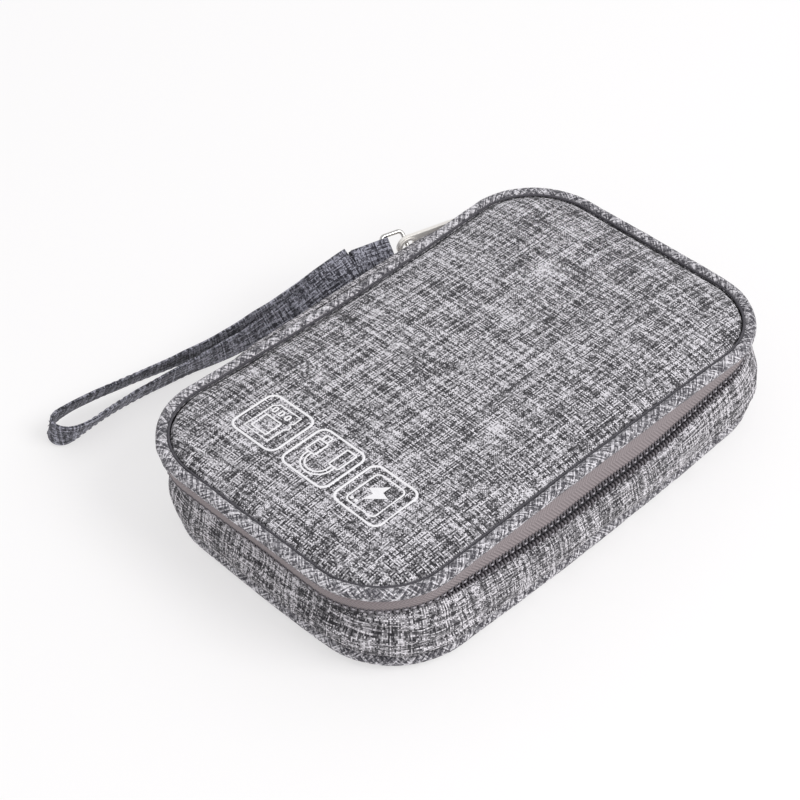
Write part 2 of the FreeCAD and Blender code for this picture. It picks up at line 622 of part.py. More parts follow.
def pull_tab():
    """Flat metal pull: a pin behind a window, a widening blade and an eye with a raised rim."""
    body = new_body("pull_tab")
    blade = new_sketch(body, "pull_plan", "XZ_Plane", "-pull_thickness / 2")
    pull_outline(blade)
    pad(body, blade, "pull_thickness")
    rim = new_sketch(body, "eye_rim_plan", "XZ_Plane", "-pull_thickness / 2 - eye_rim_rise")
    circle(rim, "Rim", "(eye_diameter + 2 * eye_rim)", "pull_length")
    pad(body, rim, "pull_thickness + 2 * eye_rim_rise")
    window = new_sketch(body, "window_plan", "XZ_Plane", "-pull_thickness")
    arm = "(pull_root_width - bridge_depth) / 2 - clearance"
    rectangle(window, "Window", "pin_diameter / 2", "window_length",
              f"-(pull_root_width / 2 - ({arm}))", f"pull_root_width / 2 - ({arm})")
    cut_upwards(body, window, "2 * pull_thickness")
    eye = new_sketch(body, "eye_plan", "XZ_Plane", "-pull_thickness")
    circle(eye, "Eye", "eye_diameter", "pull_length")
    cut_upwards(body, eye, "2 * pull_thickness")
    body.Placement = FreeCAD.Placement(Vector(), FreeCAD.Rotation(UP, -90))
    bind(body, Placement__Rotation__Angle="-90 - pull_lean")
    bind(body, Placement__Base__x=f"-{PIN_X}", Placement__Base__y=CORNER_Y, Placement__Base__z="zip_height")


def ring_place():
    """The eye's middle, with local +X along the strap and the ring rolled about it."""
    heading = FreeCAD.Rotation(UP, -90 - value("ring_lean"))
    roll = FreeCAD.Rotation(Vector(1, 0, 0), -value("ring_tilt"))
    eye = Vector(-value(EYE_X), value(EYE_Y), value("zip_height"))
    return FreeCAD.Placement(eye, heading.multiply(roll))


def strap_ring():
    """Wire ring with rounded corners, one bar in the eye and one in the strap's fold."""
    length, width, bend = (value(name) for name in ("ring_length", "ring_width", "ring_bend"))
    wire = value("ring_wire")
    places = ((0, -1), (length, -1), (length, 1), (0, 1))
    path_points = [Vector(along, side * width / 2) for along, side in places]
    edges = []
    for i, corner in enumerate(path_points):
        before, after = path_points[i - 1], path_points[(i + 1) % 4]
        to_before = (before - corner).normalize()
        to_after = (after - corner).normalize()
        start = corner + to_before * bend
        end = corner + to_after * bend
        middle = corner + (to_before + to_after) * bend * (1 - math.sqrt(0.5))
        edges.append(Part.Arc(start, middle, end).toShape())
        edges.append(Part.LineSegment(end, after - to_after * bend).toShape())
    path = Part.Wire(split_at_middle(edges, 1))
    start = path.Edges[0]
    section = Part.Wire(Part.Circle(start.firstVertex().Point, start.tangentAt(start.FirstParameter),
                                    wire / 2).toShape())
    ring = doc.addObject("Part::Feature", "StrapRing")
    ring.Label = "strap_ring"
    ring.Shape = path.makePipeShell([section], True, False)
    ring.Placement = ring_place()
    nodes.append(ring)


def split_at_middle(edges, index):
    """The same closed path, starting at the middle of one straight edge."""
    edge = edges[index]
    middle = edge.valueAt((edge.FirstParameter + edge.LastParameter) / 2)
    halves = [Part.LineSegment(middle, edge.lastVertex().Point).toShape(),
              Part.LineSegment(edge.firstVertex().Point, middle).toShape()]
    return [halves[0], *edges[index + 1:], *edges[:index], halves[1]]


def strap_end():
    """The strap's end, folded over the ring's bar and sewn."""
    length = value("strap_end_length")
    wide = value("strap_end_width")
    thick = value("strap_end_height")
    bar = value("ring_length")
    round_end = Part.makeCylinder(thick / 2, wide, Vector(bar, -wide / 2, 0), Vector(0, 1, 0))
    body = Part.makeBox(length, wide, thick, Vector(bar, -wide / 2, -thick / 2))
    tunnel = Part.makeCylinder(value("ring_wire") / 2 + value("clearance"), wide,
                               Vector(bar, -wide / 2, 0), Vector(0, 1, 0))
    fold = doc.addObject("Part::Feature", "StrapEnd")
    fold.Label = "strap_end"
    fold.Shape = body.fuse(round_end).removeSplitter().cut(tunnel)
    fold.Placement = ring_place()
    nodes.append(fold)


# Share of the shorter run beside a corner that the corner's arc takes.
ARC_SHARE = 0.45

# Middle line of the strap, standing on its edge: out along the outer run, round the tip and back.
STRAP_ROUTE = [
    (-71.75, 19.9, 26.0), (-74.4, 10.8, 23.2), (-79.6, -5.0, 16.6), (-85.6, -21.5, 10.8),
    (-92.0, -39.5, 7.4), (-97.2, -56.0, 5.9), (-100.6, -70.5, 5.5), (-101.8, -80.0, 5.4),
    (-101.3, -87.2, 5.4), (-96.1, -91.0, 5.4), (-90.8, -87.5, 5.4), (-90.6, -80.3, 5.4),
    (-91.2, -71.0, 5.5), (-90.8, -57.5, 5.4), (-88.2, -41.5, 6.2), (-83.4, -25.0, 8.8),
    (-77.6, -8.5, 13.8), (-73.0, 2.5, 19.6), (-71.05, 10.3, 23.4), (-68.6, 19.0, 26.0),
]


def rounded_path(points):
    """Straight runs joined by tangent arcs as large as the runs allow; prints each arc's radius."""
    edges = []
    last = points[0]
    radii = []
    for i in range(1, len(points) - 1):
        corner = points[i]
        to_before = points[i - 1] - corner
        to_after = points[i + 1] - corner
        shorter = min(to_before.Length, to_after.Length)
        turn = math.pi - to_before.getAngle(to_after)
        reach = ARC_SHARE * shorter
        radius = reach / math.tan(turn / 2)
        radii.append(round(radius, 1))
        start = corner + to_before.normalize() * reach
        end = corner + to_after.normalize() * reach
        bisector = (to_before + to_after).normalize()
        middle = corner + bisector * (radius / math.cos(turn / 2) - radius)
        edges.append(Part.LineSegment(last, start).toShape())
        edges.append(Part.Arc(start, middle, end).toShape())
        last = end
    edges.append(Part.LineSegment(last, points[-1]).toShape())
    print("strap arcs, mm:", radii)
    return Part.Wire(edges)


def wrist_strap():
    """The strap's loop: a flat section swept upright along its route."""
    points = [Vector(*point) for point in STRAP_ROUTE]
    path = rounded_path(points)
    along = (points[1] - points[0]).normalize()
    across = along.cross(UP).normalize()
    half_wide = UP * value("strap_width") / 2
    half_thick = across * value("strap_thickness") / 2
    signs = ((-1, -1), (-1, 1), (1, 1), (1, -1), (-1, -1))
    corners = [points[0] + half_wide * i + half_thick * j for i, j in signs]
    shell = Part.BRepOffsetAPI.MakePipeShell(path)
    shell.setBiNormalMode(UP)
    shell.add(Part.makePolygon(corners))
    shell.build()
    shell.makeSolid()
    strap = doc.addObject("Part::Feature", "WristStrap")
    strap.Label = "wrist_strap"
    strap.Shape = shell.shape()
    expected = value("strap_width") * value("strap_thickness") * path.Length
    print("strap route, mm:", round(path.Length, 1))
    print("strap volume", round(strap.Shape.Volume), "of", round(expected))
    nodes.append(strap)


def joint_lines():
    """Prints where the moving pieces turn, in millimetres."""
    print("lid hinge", -value("case_width") / 2, value("rim_height + hinge_rise"))
    print("slider's corner", value(CORNER_X), value(CORNER_Y), value("zip_height"))
    print("pull's pin", -value(PIN_X), value(CORNER_Y))
    print("ring's eye", round(-value(EYE_X), 2), round(value(EYE_Y), 2))


def check_and_export():
    """Stops on any failed object, then writes each node to its own file."""
    doc.recompute()
    for item in doc.Objects:
        if "Invalid" in item.State or "Error" in item.State:
            raise RuntimeError(f"{item.Label}: {item.State}")
    os.makedirs("parts", exist_ok=True)
    for node in nodes:
        if node.Shape.isNull() or not node.Shape.isValid():
            raise RuntimeError(node.Label + " has no valid shape")
        node.Shape.exportStep(f"parts/{node.Label}.step")
    print(len(nodes), "nodes written")


lid()
printed_frames()
pockets()
tray()
spine()
bar_tacks()
elastic_loops()
slider()
slider_bridge()
pull_tab()
strap_ring()
strap_end()
wrist_strap()
joint_lines()
check_and_export()
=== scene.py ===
# %% [markdown]
# # A soft pouch for cables
# The pouch is a book-style case: a padded tray, a padded lid, a zipper round three sides and a
# fabric spine on the fourth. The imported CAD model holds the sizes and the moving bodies. This
# lesson sews the soft pieces round it.

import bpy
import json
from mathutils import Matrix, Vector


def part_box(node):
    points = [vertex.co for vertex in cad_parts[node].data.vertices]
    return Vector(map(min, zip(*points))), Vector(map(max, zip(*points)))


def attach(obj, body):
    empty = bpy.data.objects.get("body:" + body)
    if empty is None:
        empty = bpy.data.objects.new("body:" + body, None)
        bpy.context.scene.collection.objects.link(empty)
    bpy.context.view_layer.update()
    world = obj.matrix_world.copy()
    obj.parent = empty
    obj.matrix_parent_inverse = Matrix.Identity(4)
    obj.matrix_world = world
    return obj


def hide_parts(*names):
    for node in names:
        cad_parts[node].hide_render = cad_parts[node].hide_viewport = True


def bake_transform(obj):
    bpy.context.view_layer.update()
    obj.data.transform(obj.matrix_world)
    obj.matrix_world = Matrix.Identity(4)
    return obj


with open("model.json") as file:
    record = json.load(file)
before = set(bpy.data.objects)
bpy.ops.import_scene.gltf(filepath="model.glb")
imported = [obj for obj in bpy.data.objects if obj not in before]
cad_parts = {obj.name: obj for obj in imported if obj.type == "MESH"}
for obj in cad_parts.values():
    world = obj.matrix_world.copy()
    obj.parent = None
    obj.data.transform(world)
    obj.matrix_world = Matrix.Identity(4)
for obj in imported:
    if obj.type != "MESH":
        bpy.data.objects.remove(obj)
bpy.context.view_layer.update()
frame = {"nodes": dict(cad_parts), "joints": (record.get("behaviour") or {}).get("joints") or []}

import json
import math

import bmesh
import bpy
from mathutils import Matrix, Vector, noise
from mathutils.bvhtree import BVHTree

# %% [markdown]
# ## Sizes
# Everything soft follows the lid's piping, a rounded rectangle. Its outer half sizes come from the
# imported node; the corner is the same 28.5 mm arc that the CAD uses. The script works in millimetres
# and scales at the very end.

# %% Driving sizes in millimetres
MM = 0.001
lid_piping_low, lid_piping_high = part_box("lid_piping")
HALF_X = lid_piping_high.x / MM
HALF_Y = lid_piping_high.y / MM
CORNER = 28.5
PIPING = (lid_piping_high.z - lid_piping_low.z) / MM / 2
LID_SEAM = lid_piping_low.z / MM + PIPING
BASE_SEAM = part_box("base_piping")[0].z / MM + PIPING
SPINE_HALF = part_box("spine_panel")[1].y / MM
FLOOR_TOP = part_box("base_lining")[1].z / MM
ZIP_LINE = (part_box("lower_zip_coil")[1].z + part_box("upper_zip_coil")[0].z) / MM / 2
print("half sizes", round(HALF_X, 2), round(HALF_Y, 2))
print("seams at", BASE_SEAM, LID_SEAM, "zip at", ZIP_LINE)

# %% [markdown]
# ## Camera
# The camera stands well back with a long lens, so the pouch is seen almost without perspective. It
# looks down over the corner that is nearest to it.

# %% Make the camera
CAMERA_TURN = math.radians(44.73)
CAMERA_RISE = math.radians(42.82)
CAMERA_FAR = 0.72318
LENS = 100.23
AIM = Vector((-0.02899, -0.00082, 0.0045))
away = Vector((math.sin(CAMERA_TURN) * math.cos(CAMERA_RISE),
               -math.cos(CAMERA_TURN) * math.cos(CAMERA_RISE),
               math.sin(CAMERA_RISE)))
camera = bpy.data.objects.new("camera", bpy.data.cameras.new("camera"))
camera.data.lens = LENS
camera.data.clip_start = 0.05
camera.location = AIM + away * CAMERA_FAR
camera.rotation_euler = (-away).to_track_quat("-Z", "Y").to_euler()
bpy.context.scene.collection.objects.link(camera)
bpy.context.scene.camera = camera
print("camera at", [round(v, 3) for v in camera.location])

# %% [markdown]
# ## Helpers for materials
# A finish is a small tree of nodes. One function adds a node with its settings and links; one turns
# the hex colours that a designer writes into the linear values that a shader reads.

# %% Colours and nodes


def colour(code):
    """An sRGB hex code as linear red, green, blue and alpha."""
    parts = [int(code[i:i + 2], 16) / 255 for i in (1, 3, 5)]
    linear = [p / 12.92 if p <= 0.04045 else ((p + 0.055) / 1.055) ** 2.4 for p in parts]
    return (*linear, 1.0)


def add(tree, kind, inputs=None, **settings):
    """Adds a shader node, sets it up, and fills its inputs with values or with links.

    A link is written as the socket it comes from, or as a node whose first output is meant."""
    node = tree.nodes.new("ShaderNode" + kind)
    for name, setting in settings.items():
        setattr(node, name, setting)
    for key, given in (inputs or {}).items():
        if isinstance(given, bpy.types.Node):
            given = given.outputs[0]
        if isinstance(given, bpy.types.NodeSocket):
            tree.links.new(given, node.inputs[key])
        else:
            node.inputs[key].default_value = given
    return node


def new_material(name, **constants):
    """A material with one shader, whose constant sockets are set by name."""
    material = bpy.data.materials.new(name)
    material.use_nodes = True
    tree = material.node_tree
    shader = tree.nodes["Principled BSDF"]
    for socket, given in constants.items():
        shader.inputs[socket.replace("_", " ")].default_value = given
    return material, tree, shader


def bump(tree, shader, height, depth, strength=1.0):
    """Lets a height pattern catch the light; depth is in millimetres."""
    raised = add(tree, "Bump", {"Height": height, "Distance": depth * MM, "Strength": strength})
    tree.links.new(raised.outputs[0], shader.inputs["Normal"])


# %% [markdown]
# ## Heather canvas
# The outer cloth is a plain weave of two-tone polyester yarn: each thread is dyed light and dark in
# turns, so the cloth shows streaks along its threads. The pattern numbers every thread, gives each
# one its own runs of light and dark with short flecks over them, and lets warp and weft pass over
# each other in a chequer. Real threads are about 0.35 mm apart; they are drawn a little coarser, so
# that the streaks still show at arm's length.

# %% Heather canvas
THREAD = 0.44
WARP_SLUB = 40.0
WEFT_SLUB = 18.0
LANE_STEP = 7.37
FLECKS_PER_THREAD = 0.5
FLECK_SHARE = 0.5
STREAK_RANGE = (0.4, 0.62)
BAND_WIDTH = 3.0
BAND_LENGTH = 30.0
BAND_SHARE = 0.02
SHADE_RANGE = (0.26, 0.73)
SHADE_POWER = 1.8
# Painted shade in the gaps between threads and painted highlight on their crowns, as factors on the colour.
GAP_PAINTED_SHADE = 0.45
CROWN_PAINTED_HIGHLIGHT = 1.2
CANVAS_RELIEF = 0.2


def slubs(tree, run, lane_number, reach):
    """The shade of every warp or every weft thread: long streaks with short flecks over them."""
    along = add(tree, "Math", {0: run, 1: THREAD / reach}, operation="MULTIPLY")
    lane = add(tree, "Math", {0: lane_number, 1: LANE_STEP}, operation="MULTIPLY")
    spot = add(tree, "CombineXYZ", {0: along, 1: lane})
    yarn = add(tree, "TexNoise", {"Vector": spot, "Scale": 1.0, "Detail": 3.0, "Roughness": 0.6},
               noise_dimensions="2D")
    streak = add(tree, "MapRange", {0: yarn, 1: STREAK_RANGE[0], 2: STREAK_RANGE[1]})
    steps = add(tree, "Math", {0: run, 1: FLECKS_PER_THREAD, 2: lane}, operation="MULTIPLY_ADD")
    fleck_number = add(tree, "Math", {0: steps}, operation="FLOOR")
    fleck_place = add(tree, "CombineXYZ", {0: fleck_number, 1: lane_number})
    fleck = add(tree, "TexWhiteNoise", {"Vector": fleck_place}, noise_dimensions="2D")
    return add(tree, "Mix", {0: FLECK_SHARE, 2: streak, 3: fleck})


def heather(name, dark, light, by_uv=False, turn=0.0, warp_share=0.7):
    """Woven polyester canvas: matt, slightly fuzzy, with streaks along X and Y threads."""
    material, tree, shader = new_material(name, Roughness=0.86, Sheen_Weight=0.08, Sheen_Roughness=0.5)
    where = add(tree, "TexCoord").outputs["UV" if by_uv else "Object"]
    scale = 1 / (THREAD if by_uv else THREAD * MM)
    threads = add(tree, "Mapping", {"Vector": where, "Rotation": (0, 0, turn), "Scale": (scale,) * 3})
    axes = add(tree, "SeparateXYZ", {0: threads})
    across, up = axes.outputs["X"], axes.outputs["Y"]
    warp_number = add(tree, "Math", {0: across}, operation="FLOOR")
    weft_number = add(tree, "Math", {0: up}, operation="FLOOR")
    warp = slubs(tree, up, warp_number, WARP_SLUB)
    weft = slubs(tree, across, weft_number, WEFT_SLUB)
    both = add(tree, "Math", {0: warp_number, 1: weft_number}, operation="ADD")
    over = add(tree, "Math", {0: both, 1: 2.0}, operation="FLOORED_MODULO")
    share = add(tree, "MapRange", {0: over, 3: 1 - warp_share, 4: warp_share})
    cloth = add(tree, "Mix", {0: share, 2: weft, 3: warp})
    band_scale = (THREAD / BAND_WIDTH, THREAD / BAND_LENGTH, THREAD / BAND_LENGTH)
    stretch = add(tree, "Mapping", {"Vector": threads, "Scale": band_scale})
    bands = add(tree, "TexNoise", {"Vector": stretch, "Scale": 1.0, "Detail": 2.0})
    shade = add(tree, "Mix", {0: BAND_SHARE, 2: cloth, 3: bands})
    spread = add(tree, "MapRange", {0: shade, 1: SHADE_RANGE[0], 2: SHADE_RANGE[1]})
    skewed = add(tree, "Math", {0: spread, 1: SHADE_POWER}, operation="POWER")
    waves = []
    for axis in (across, up):
        turned = add(tree, "Math", {0: axis, 1: math.pi}, operation="MULTIPLY")
        wave = add(tree, "Math", {0: turned}, operation="SINE")
        waves.append(add(tree, "Math", {0: wave}, operation="ABSOLUTE"))
    relief = add(tree, "Mix", {0: over, 2: waves[0], 3: waves[1]})
    # Painted shade and highlight: the colour is darkened where the threads dip and brightened on their
    # crowns.
    painted_weave_shade = add(tree, "MapRange", {0: relief, 3: GAP_PAINTED_SHADE, 4: CROWN_PAINTED_HIGHLIGHT})
    lit = add(tree, "Math", {0: skewed, 1: painted_weave_shade}, operation="MULTIPLY")
    mixed = add(tree, "Mix", {0: lit, 6: colour(dark), 7: colour(light)}, data_type="RGBA")
    tree.links.new(mixed.outputs[2], shader.inputs["Base Color"])
    bump(tree, shader, relief, CANVAS_RELIEF, 0.8)
    return material


panel_cloth = heather("heather_canvas_flat", "#252328", "#f6f3f8", warp_share=0.8)
wall_cloth = heather("heather_canvas_walls", "#252328", "#f3eff4", by_uv=True, warp_share=0.25)
bias_cloth = heather("heather_canvas_bias", "#434148", "#f6f3f8", by_uv=True, turn=math.radians(45),
                     warp_share=0.6)
strap_cloth = heather("heather_canvas_strap", "#25252e", "#b9b9c6", by_uv=True, warp_share=0.35)
print("heather canvas in", THREAD, "mm threads")

# %% [markdown]
# ## Plain woven goods, nylon and thread
# The zipper's tape is a solid warm grey with a herringbone rib, the coil is glossy dark nylon, and
# the sewing thread is a pale twisted polyester. The lining is a dull taffeta, the mesh a knitted
# net and the loops elastic. Each call gives the rib's width, the width of one chevron and the depth
# of the relief in millimetres.

# %% Ribbed weaves


def ribbed(name, code, rib, chevron, depth, roughness, low=0.8):
    """Woven tape: ribs that turn back and forth every chevron width, or straight ones if it is zero."""
    material, tree, shader = new_material(name, Roughness=roughness, Sheen_Weight=0.08)
    where = add(tree, "TexCoord").outputs["UV"]
    axes = add(tree, "SeparateXYZ", {0: where})
    slanted = axes.outputs["X"]
    if chevron:
        fold = add(tree, "Math", {0: axes.outputs["Y"], 1: chevron}, operation="PINGPONG")
        slanted = add(tree, "Math", {0: axes.outputs["X"], 1: fold}, operation="ADD")
    turns = add(tree, "Math", {0: slanted, 1: 2 * math.pi / rib}, operation="MULTIPLY")
    wave = add(tree, "Math", {0: turns}, operation="SINE")
    height = add(tree, "MapRange", {0: wave, 1: -1.0, 2: 1.0})
    fuzz = add(tree, "TexNoise", {"Vector": where, "Scale": 1.6, "Detail": 4.0, "Roughness": 0.7})
    # Painted shade in the rib valleys: the colour darkens to low times the base colour where the ribs dip,
    # mixed with a random fuzz of tone.
    tone_and_groove_shade = add(tree, "Mix", {0: 0.55, 2: height, 3: fuzz})
    base = colour(code)
    deep = tuple(low * part for part in base[:3])
    mixed = add(tree, "Mix", {0: tone_and_groove_shade, 6: (*deep, 1.0), 7: base}, data_type="RGBA")
    tree.links.new(mixed.outputs[2], shader.inputs["Base Color"])
    bump(tree, shader, height, depth, 0.8)
    return material


tape_weave = ribbed("herringbone_zip_tape", "#9a8f91", 1.25, 3.4, 0.25, 0.8, low=0.5)
elastic_weave = ribbed("woven_elastic", "#2c2c30", 0.8, 0, 0.25, 0.75, low=0.5)
binding_weave = ribbed("folded_elastic_binding", "#232326", 0.7, 0.9, 0.15, 0.75, low=0.6)
lining_weave = ribbed("nylon_taffeta_lining", "#3b3b40", 0.6, 0.6, 0.06, 0.55, low=0.75)
net_yarn = ribbed("knitted_nylon_net", "#18181a", 0.5, 0.3, 0.1, 0.6, low=0.6)
print("ribs 0.5 to 1.25 mm wide")

# %% [markdown]
# Small smooth pieces need less: a base colour that drifts a little, and a fine grain that breaks up
# the highlight.

# %% Grainy solids


def grainy(name, code, second, grain, depth, **constants):
    """A solid whose colour drifts between two codes, over a grain size in millimetres."""
    material, tree, shader = new_material(name, **constants)
    where = add(tree, "TexCoord").outputs["Object"]
    cloud = add(tree, "TexNoise", {"Vector": where, "Scale": 1 / (grain * MM), "Detail": 3.0})
    mixed = add(tree, "Mix", {0: cloud, 6: colour(code), 7: colour(second)}, data_type="RGBA")
    tree.links.new(mixed.outputs[2], shader.inputs["Base Color"])
    bump(tree, shader, cloud, depth, 0.5)
    return material


coil_nylon = grainy("extruded_nylon_coil", "#454146", "#6b666b", 0.9, 0.05, Roughness=0.38, IOR=1.53)
sewing_thread = grainy("polyester_sewing_thread", "#a9a5ac", "#d6d2d8", 0.4, 0.05, Roughness=0.7)
coil_thread = grainy("grey_coil_thread", "#99959b", "#b9b5bb", 0.4, 0.05, Roughness=0.6)
# Painted shade for the lid's seam: a dark cord colour that stands in for the shadow in the seam.
seam_painted_shade = grainy("painted_seam_shade_cord", "#39373c", "#56545a", 0.5, 0.05, Roughness=0.8)
dark_thread = grainy("dark_sewing_thread", "#55535c", "#85838d", 0.4, 0.05, Roughness=0.7)
white_ink = grainy("screen_printed_ink", "#f6f5f6", "#dcdadd", 0.5, 0.03, Roughness=0.55)
satin_nickel = grainy("satin_nickel_plated_zinc", "#fbf8f3", "#f1ede6", 0.25, 0.01, Metallic=0.55,
                      Roughness=0.45)
bright_nickel = grainy("bright_nickel_plated_wire", "#cfcdca", "#b9b7b4", 0.6, 0.01, Metallic=1.0,
                       Roughness=0.14)
dark_zinc = grainy("dark_plated_zinc", "#4c4b4f", "#38373a", 0.5, 0.01, Metallic=1.0, Roughness=0.36)

# %% [markdown]
# ## Helpers for meshes
# A piece starts as a bmesh in millimetres. The sweep pushes a section along a list of places with
# Blender's extrude operator; each vertex remembers how far along and how far round it lies, which
# becomes the UV map in millimetres.

# %% Finish a piece: its faces are put in the same order in every run
FACE_ORDER = Vector((1.0, 7.31, 53.7))


def as_object(name, bm, material, sharp=60.0):
    """Turns a bmesh in millimetres into an object with one material."""
    bmesh.ops.scale(bm, vec=(MM, MM, MM), verts=bm.verts)
    bm.faces.sort(key=lambda face: face.calc_center_median().dot(FACE_ORDER))
    mesh = bpy.data.meshes.new(name)
    bm.to_mesh(mesh)
    bm.free()
    mesh.shade_smooth()
    mesh.set_sharp_from_angle(angle=math.radians(sharp))
    mesh.materials.append(material)
    made = bpy.data.objects.new(name, mesh)
    bpy.context.scene.collection.objects.link(made)
    return made


def piece(name, bm, material, body, slot, *nodes, sharp=60.0):
    """An object that rides on a body and stands for its CAD nodes."""
    made = as_object(name, bm, material, sharp)
    if body:
        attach(made, body)
    if nodes:
        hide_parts(*nodes)
    print(name, len(made.data.polygons), "faces")
    return made


# %% Sweep a section along places
CLOSE = 0.001


def sweep(section, places, move=None):
    """Extrudes a section (its last point repeats the first if it is closed) from place to place.

    places are pairs (distance, matrix); the section lies in the matrix's X and Y.
    move(point, along, around) may shift each vertex."""
    bm = bmesh.new()
    along = bm.verts.layers.float.new("along")
    around = bm.verts.layers.float.new("around")
    ring = []
    reach = 0.0
    for index, (x, y) in enumerate(section):
        if index:
            reach += math.dist(section[index - 1], (x, y))
        vert = bm.verts.new(places[0][1] @ Vector((x, y, 0)))
        vert[along] = places[0][0]
        vert[around] = reach
        ring.append(vert)
    edges = [bm.edges.new(pair) for pair in zip(ring, ring[1:])]
    for (_, before), (distance, after) in zip(places, places[1:]):
        made = bmesh.ops.extrude_edge_only(bm, edges=edges)["geom"]
        fresh = {item for item in made if isinstance(item, bmesh.types.BMVert)}
        edges = [item for item in made if isinstance(item, bmesh.types.BMEdge)]
        edges = [edge for edge in edges if set(edge.verts) <= fresh]
        bmesh.ops.transform(bm, matrix=after @ before.inverted(), verts=list(fresh))
        for vert in fresh:
            vert[along] = distance
    if move:
        for vert in bm.verts:
            vert.co = move(vert.co.copy(), vert[along], vert[around])
    uv = bm.loops.layers.uv.new("UVMap")
    for face in bm.faces:
        for loop in face.loops:
            loop[uv].uv = (loop.vert[along], loop.vert[around])
    bmesh.ops.remove_doubles(bm, verts=bm.verts, dist=CLOSE)
    loose = [edge for edge in bm.edges if len(edge.link_faces) == 1]
    if loose:
        caps = bmesh.ops.holes_fill(bm, edges=loose, sides=0)["faces"]
        bmesh.ops.triangulate(bm, faces=caps)
    bmesh.ops.recalc_face_normals(bm, faces=bm.faces)
    return bm


def wall_section(line, thickness):
    """Closes an outer line (out, up) into a band that is that thick, on the line's left."""
    inner = []
    for index, point in enumerate(line):
        before = Vector(line[max(index - 1, 0)])
        after = Vector(line[min(index + 1, len(line) - 1)])
        run = (after - before).normalized()
        inner.append((point[0] - run.y * thickness, point[1] + run.x * thickness))
    return [*line, *reversed(inner), line[0]]


def smooth_line(points, count):
    """The same line through more points, rounded by a quadratic curve at each bend."""
    curve = bpy.data.curves.new("line", "CURVE")
    curve.dimensions = "3D"
    curve.resolution_u = count
    spline = curve.splines.new("NURBS")
    spline.points.add(len(points) - 1)
    for target, point in zip(spline.points, points):
        target.co = (*point, *(0.0,) * (3 - len(point)), 1.0)
    spline.order_u = 3
    spline.use_endpoint_u = True
    holder = bpy.data.objects.new("line", curve)
    mesh = bpy.data.meshes.new_from_object(holder)
    found = [vert.co.copy() for vert in mesh.vertices]
    bpy.data.objects.remove(holder)
    return found


def flat_line(points, count=6):
    """A smooth line in the section's plane."""
    return [(point.x, point.y) for point in smooth_line(points, count)]


# %% Places round the rim
STRAIGHT_X = 2 * (HALF_X - CORNER)
STRAIGHT_Y = 2 * (HALF_Y - CORNER)
QUARTER = CORNER * math.pi / 2
PERIMETER = 2 * (STRAIGHT_X + STRAIGHT_Y) + 4 * QUARTER


def rim_place(distance):
    """A matrix on the rim, X pointing out and Y up, that far round from the spine's middle."""
    x, y, heading = -HALF_X, 0.0, -math.pi / 2
    left = distance % PERIMETER
    runs = [STRAIGHT_Y / 2, QUARTER, STRAIGHT_X, QUARTER, STRAIGHT_Y, QUARTER, STRAIGHT_X, QUARTER,
            STRAIGHT_Y / 2]
    for index, run in enumerate(runs):
        part = min(left, run)
        if index % 2:
            turn = part / CORNER
            x += CORNER * (math.sin(heading + turn) - math.sin(heading))
            y += CORNER * (math.cos(heading) - math.cos(heading + turn))
            heading += turn
        else:
            x += part * math.cos(heading)
            y += part * math.sin(heading)
        left -= part
        if left <= 0:
            break
    out = Vector((math.sin(heading), -math.cos(heading), 0))
    run = Vector((math.cos(heading), math.sin(heading), 0))
    matrix = Matrix((out, (0, 0, 1), run)).transposed().to_4x4()
    matrix.translation = (x, y, 0)
    return matrix


def rim_places(start, stop, step):
    """Evenly spaced places along the rim."""
    count = math.ceil((stop - start) / step)
    spots = [start + (stop - start) * index / count for index in range(count + 1)]
    return [(spot, rim_place(spot)) for spot in spots]


print("rim", round(PERIMETER, 1), "mm round")

# %% [markdown]
# ## How the soft case sits
# A nearly empty pouch isn't as true as its pattern. The lid has slid a little towards the spine and
# its long sides are drawn in; the tray has slid the other way and is pressed in at its corners and
# its front; and along the right side the zipper gapes and hangs a few millimetres lower. These
# three habits are written as functions of a point or of the place on the rim.

# %% Three soft habits
LID_SLIDE = 1.0
LID_SPINE_BOW = 2.6
LID_RIGHT_BOW = 0.9
TRAY_SLIDE = 1.2
LEFT_PRESS = 2.4
NEAR_PRESS = 1.8
RIGHT_PUSH = -2.0
FRONT_PRESS = 1.6
PRESS_FROM = 50.0
PRESS_TO = 93.5
SLIDE_FROM, SLIDE_OVER = -40.0, 80.0
FRONT_FROM, FRONT_OVER = 30.0, 50.0
ZIP_HANG = 2.3
GAPE_PAST_CORNER = 16.0
GAPE_STEEP = 1.25
RIGHT_MIDDLE = PERIMETER / 2


def ease(share):
    """Smooth step from 0 to 1."""
    share = min(max(share, 0.0), 1.0)
    return share * share * (3 - 2 * share)


def lid_sits(point):
    """Where a point of the lid ends up."""
    bow = LID_SPINE_BOW if point.x < 0 else LID_RIGHT_BOW
    drawn = bow * abs(point.x) / HALF_X * math.cos(math.pi / 2 * min(abs(point.y) / HALF_Y, 1)) ** 2
    return point + Vector((-math.copysign(drawn, point.x) - LID_SLIDE, -LID_SLIDE, 0))


def tray_sits(point):
    """Where a point of the tray's cloth ends up."""
    across = (point.x + point.y) / math.sqrt(2)
    along = (point.x - point.y) / math.sqrt(2)
    corner = ease((abs(across) - PRESS_FROM) / (PRESS_TO - PRESS_FROM))
    push = corner * (LEFT_PRESS if across < 0 else RIGHT_PUSH)
    press = NEAR_PRESS * ease((along - PRESS_FROM) / (PRESS_TO - PRESS_FROM))
    slide = TRAY_SLIDE * ease((point.x - SLIDE_FROM) / SLIDE_OVER)
    front = FRONT_PRESS * ease((-point.y - FRONT_FROM) / FRONT_OVER)
    shift_x = (push - press) / math.sqrt(2) + slide
    shift_y = (push + press) / math.sqrt(2) + front
    return point + Vector((shift_x, shift_y, 0))


def opened(along):
    """How far the zipper gapes: 1 in the middle of the right side, 0 past its corners."""
    half = STRAIGHT_Y / 2 + GAPE_PAST_CORNER
    return ease(GAPE_STEEP * (1 - abs(along - RIGHT_MIDDLE) / half))


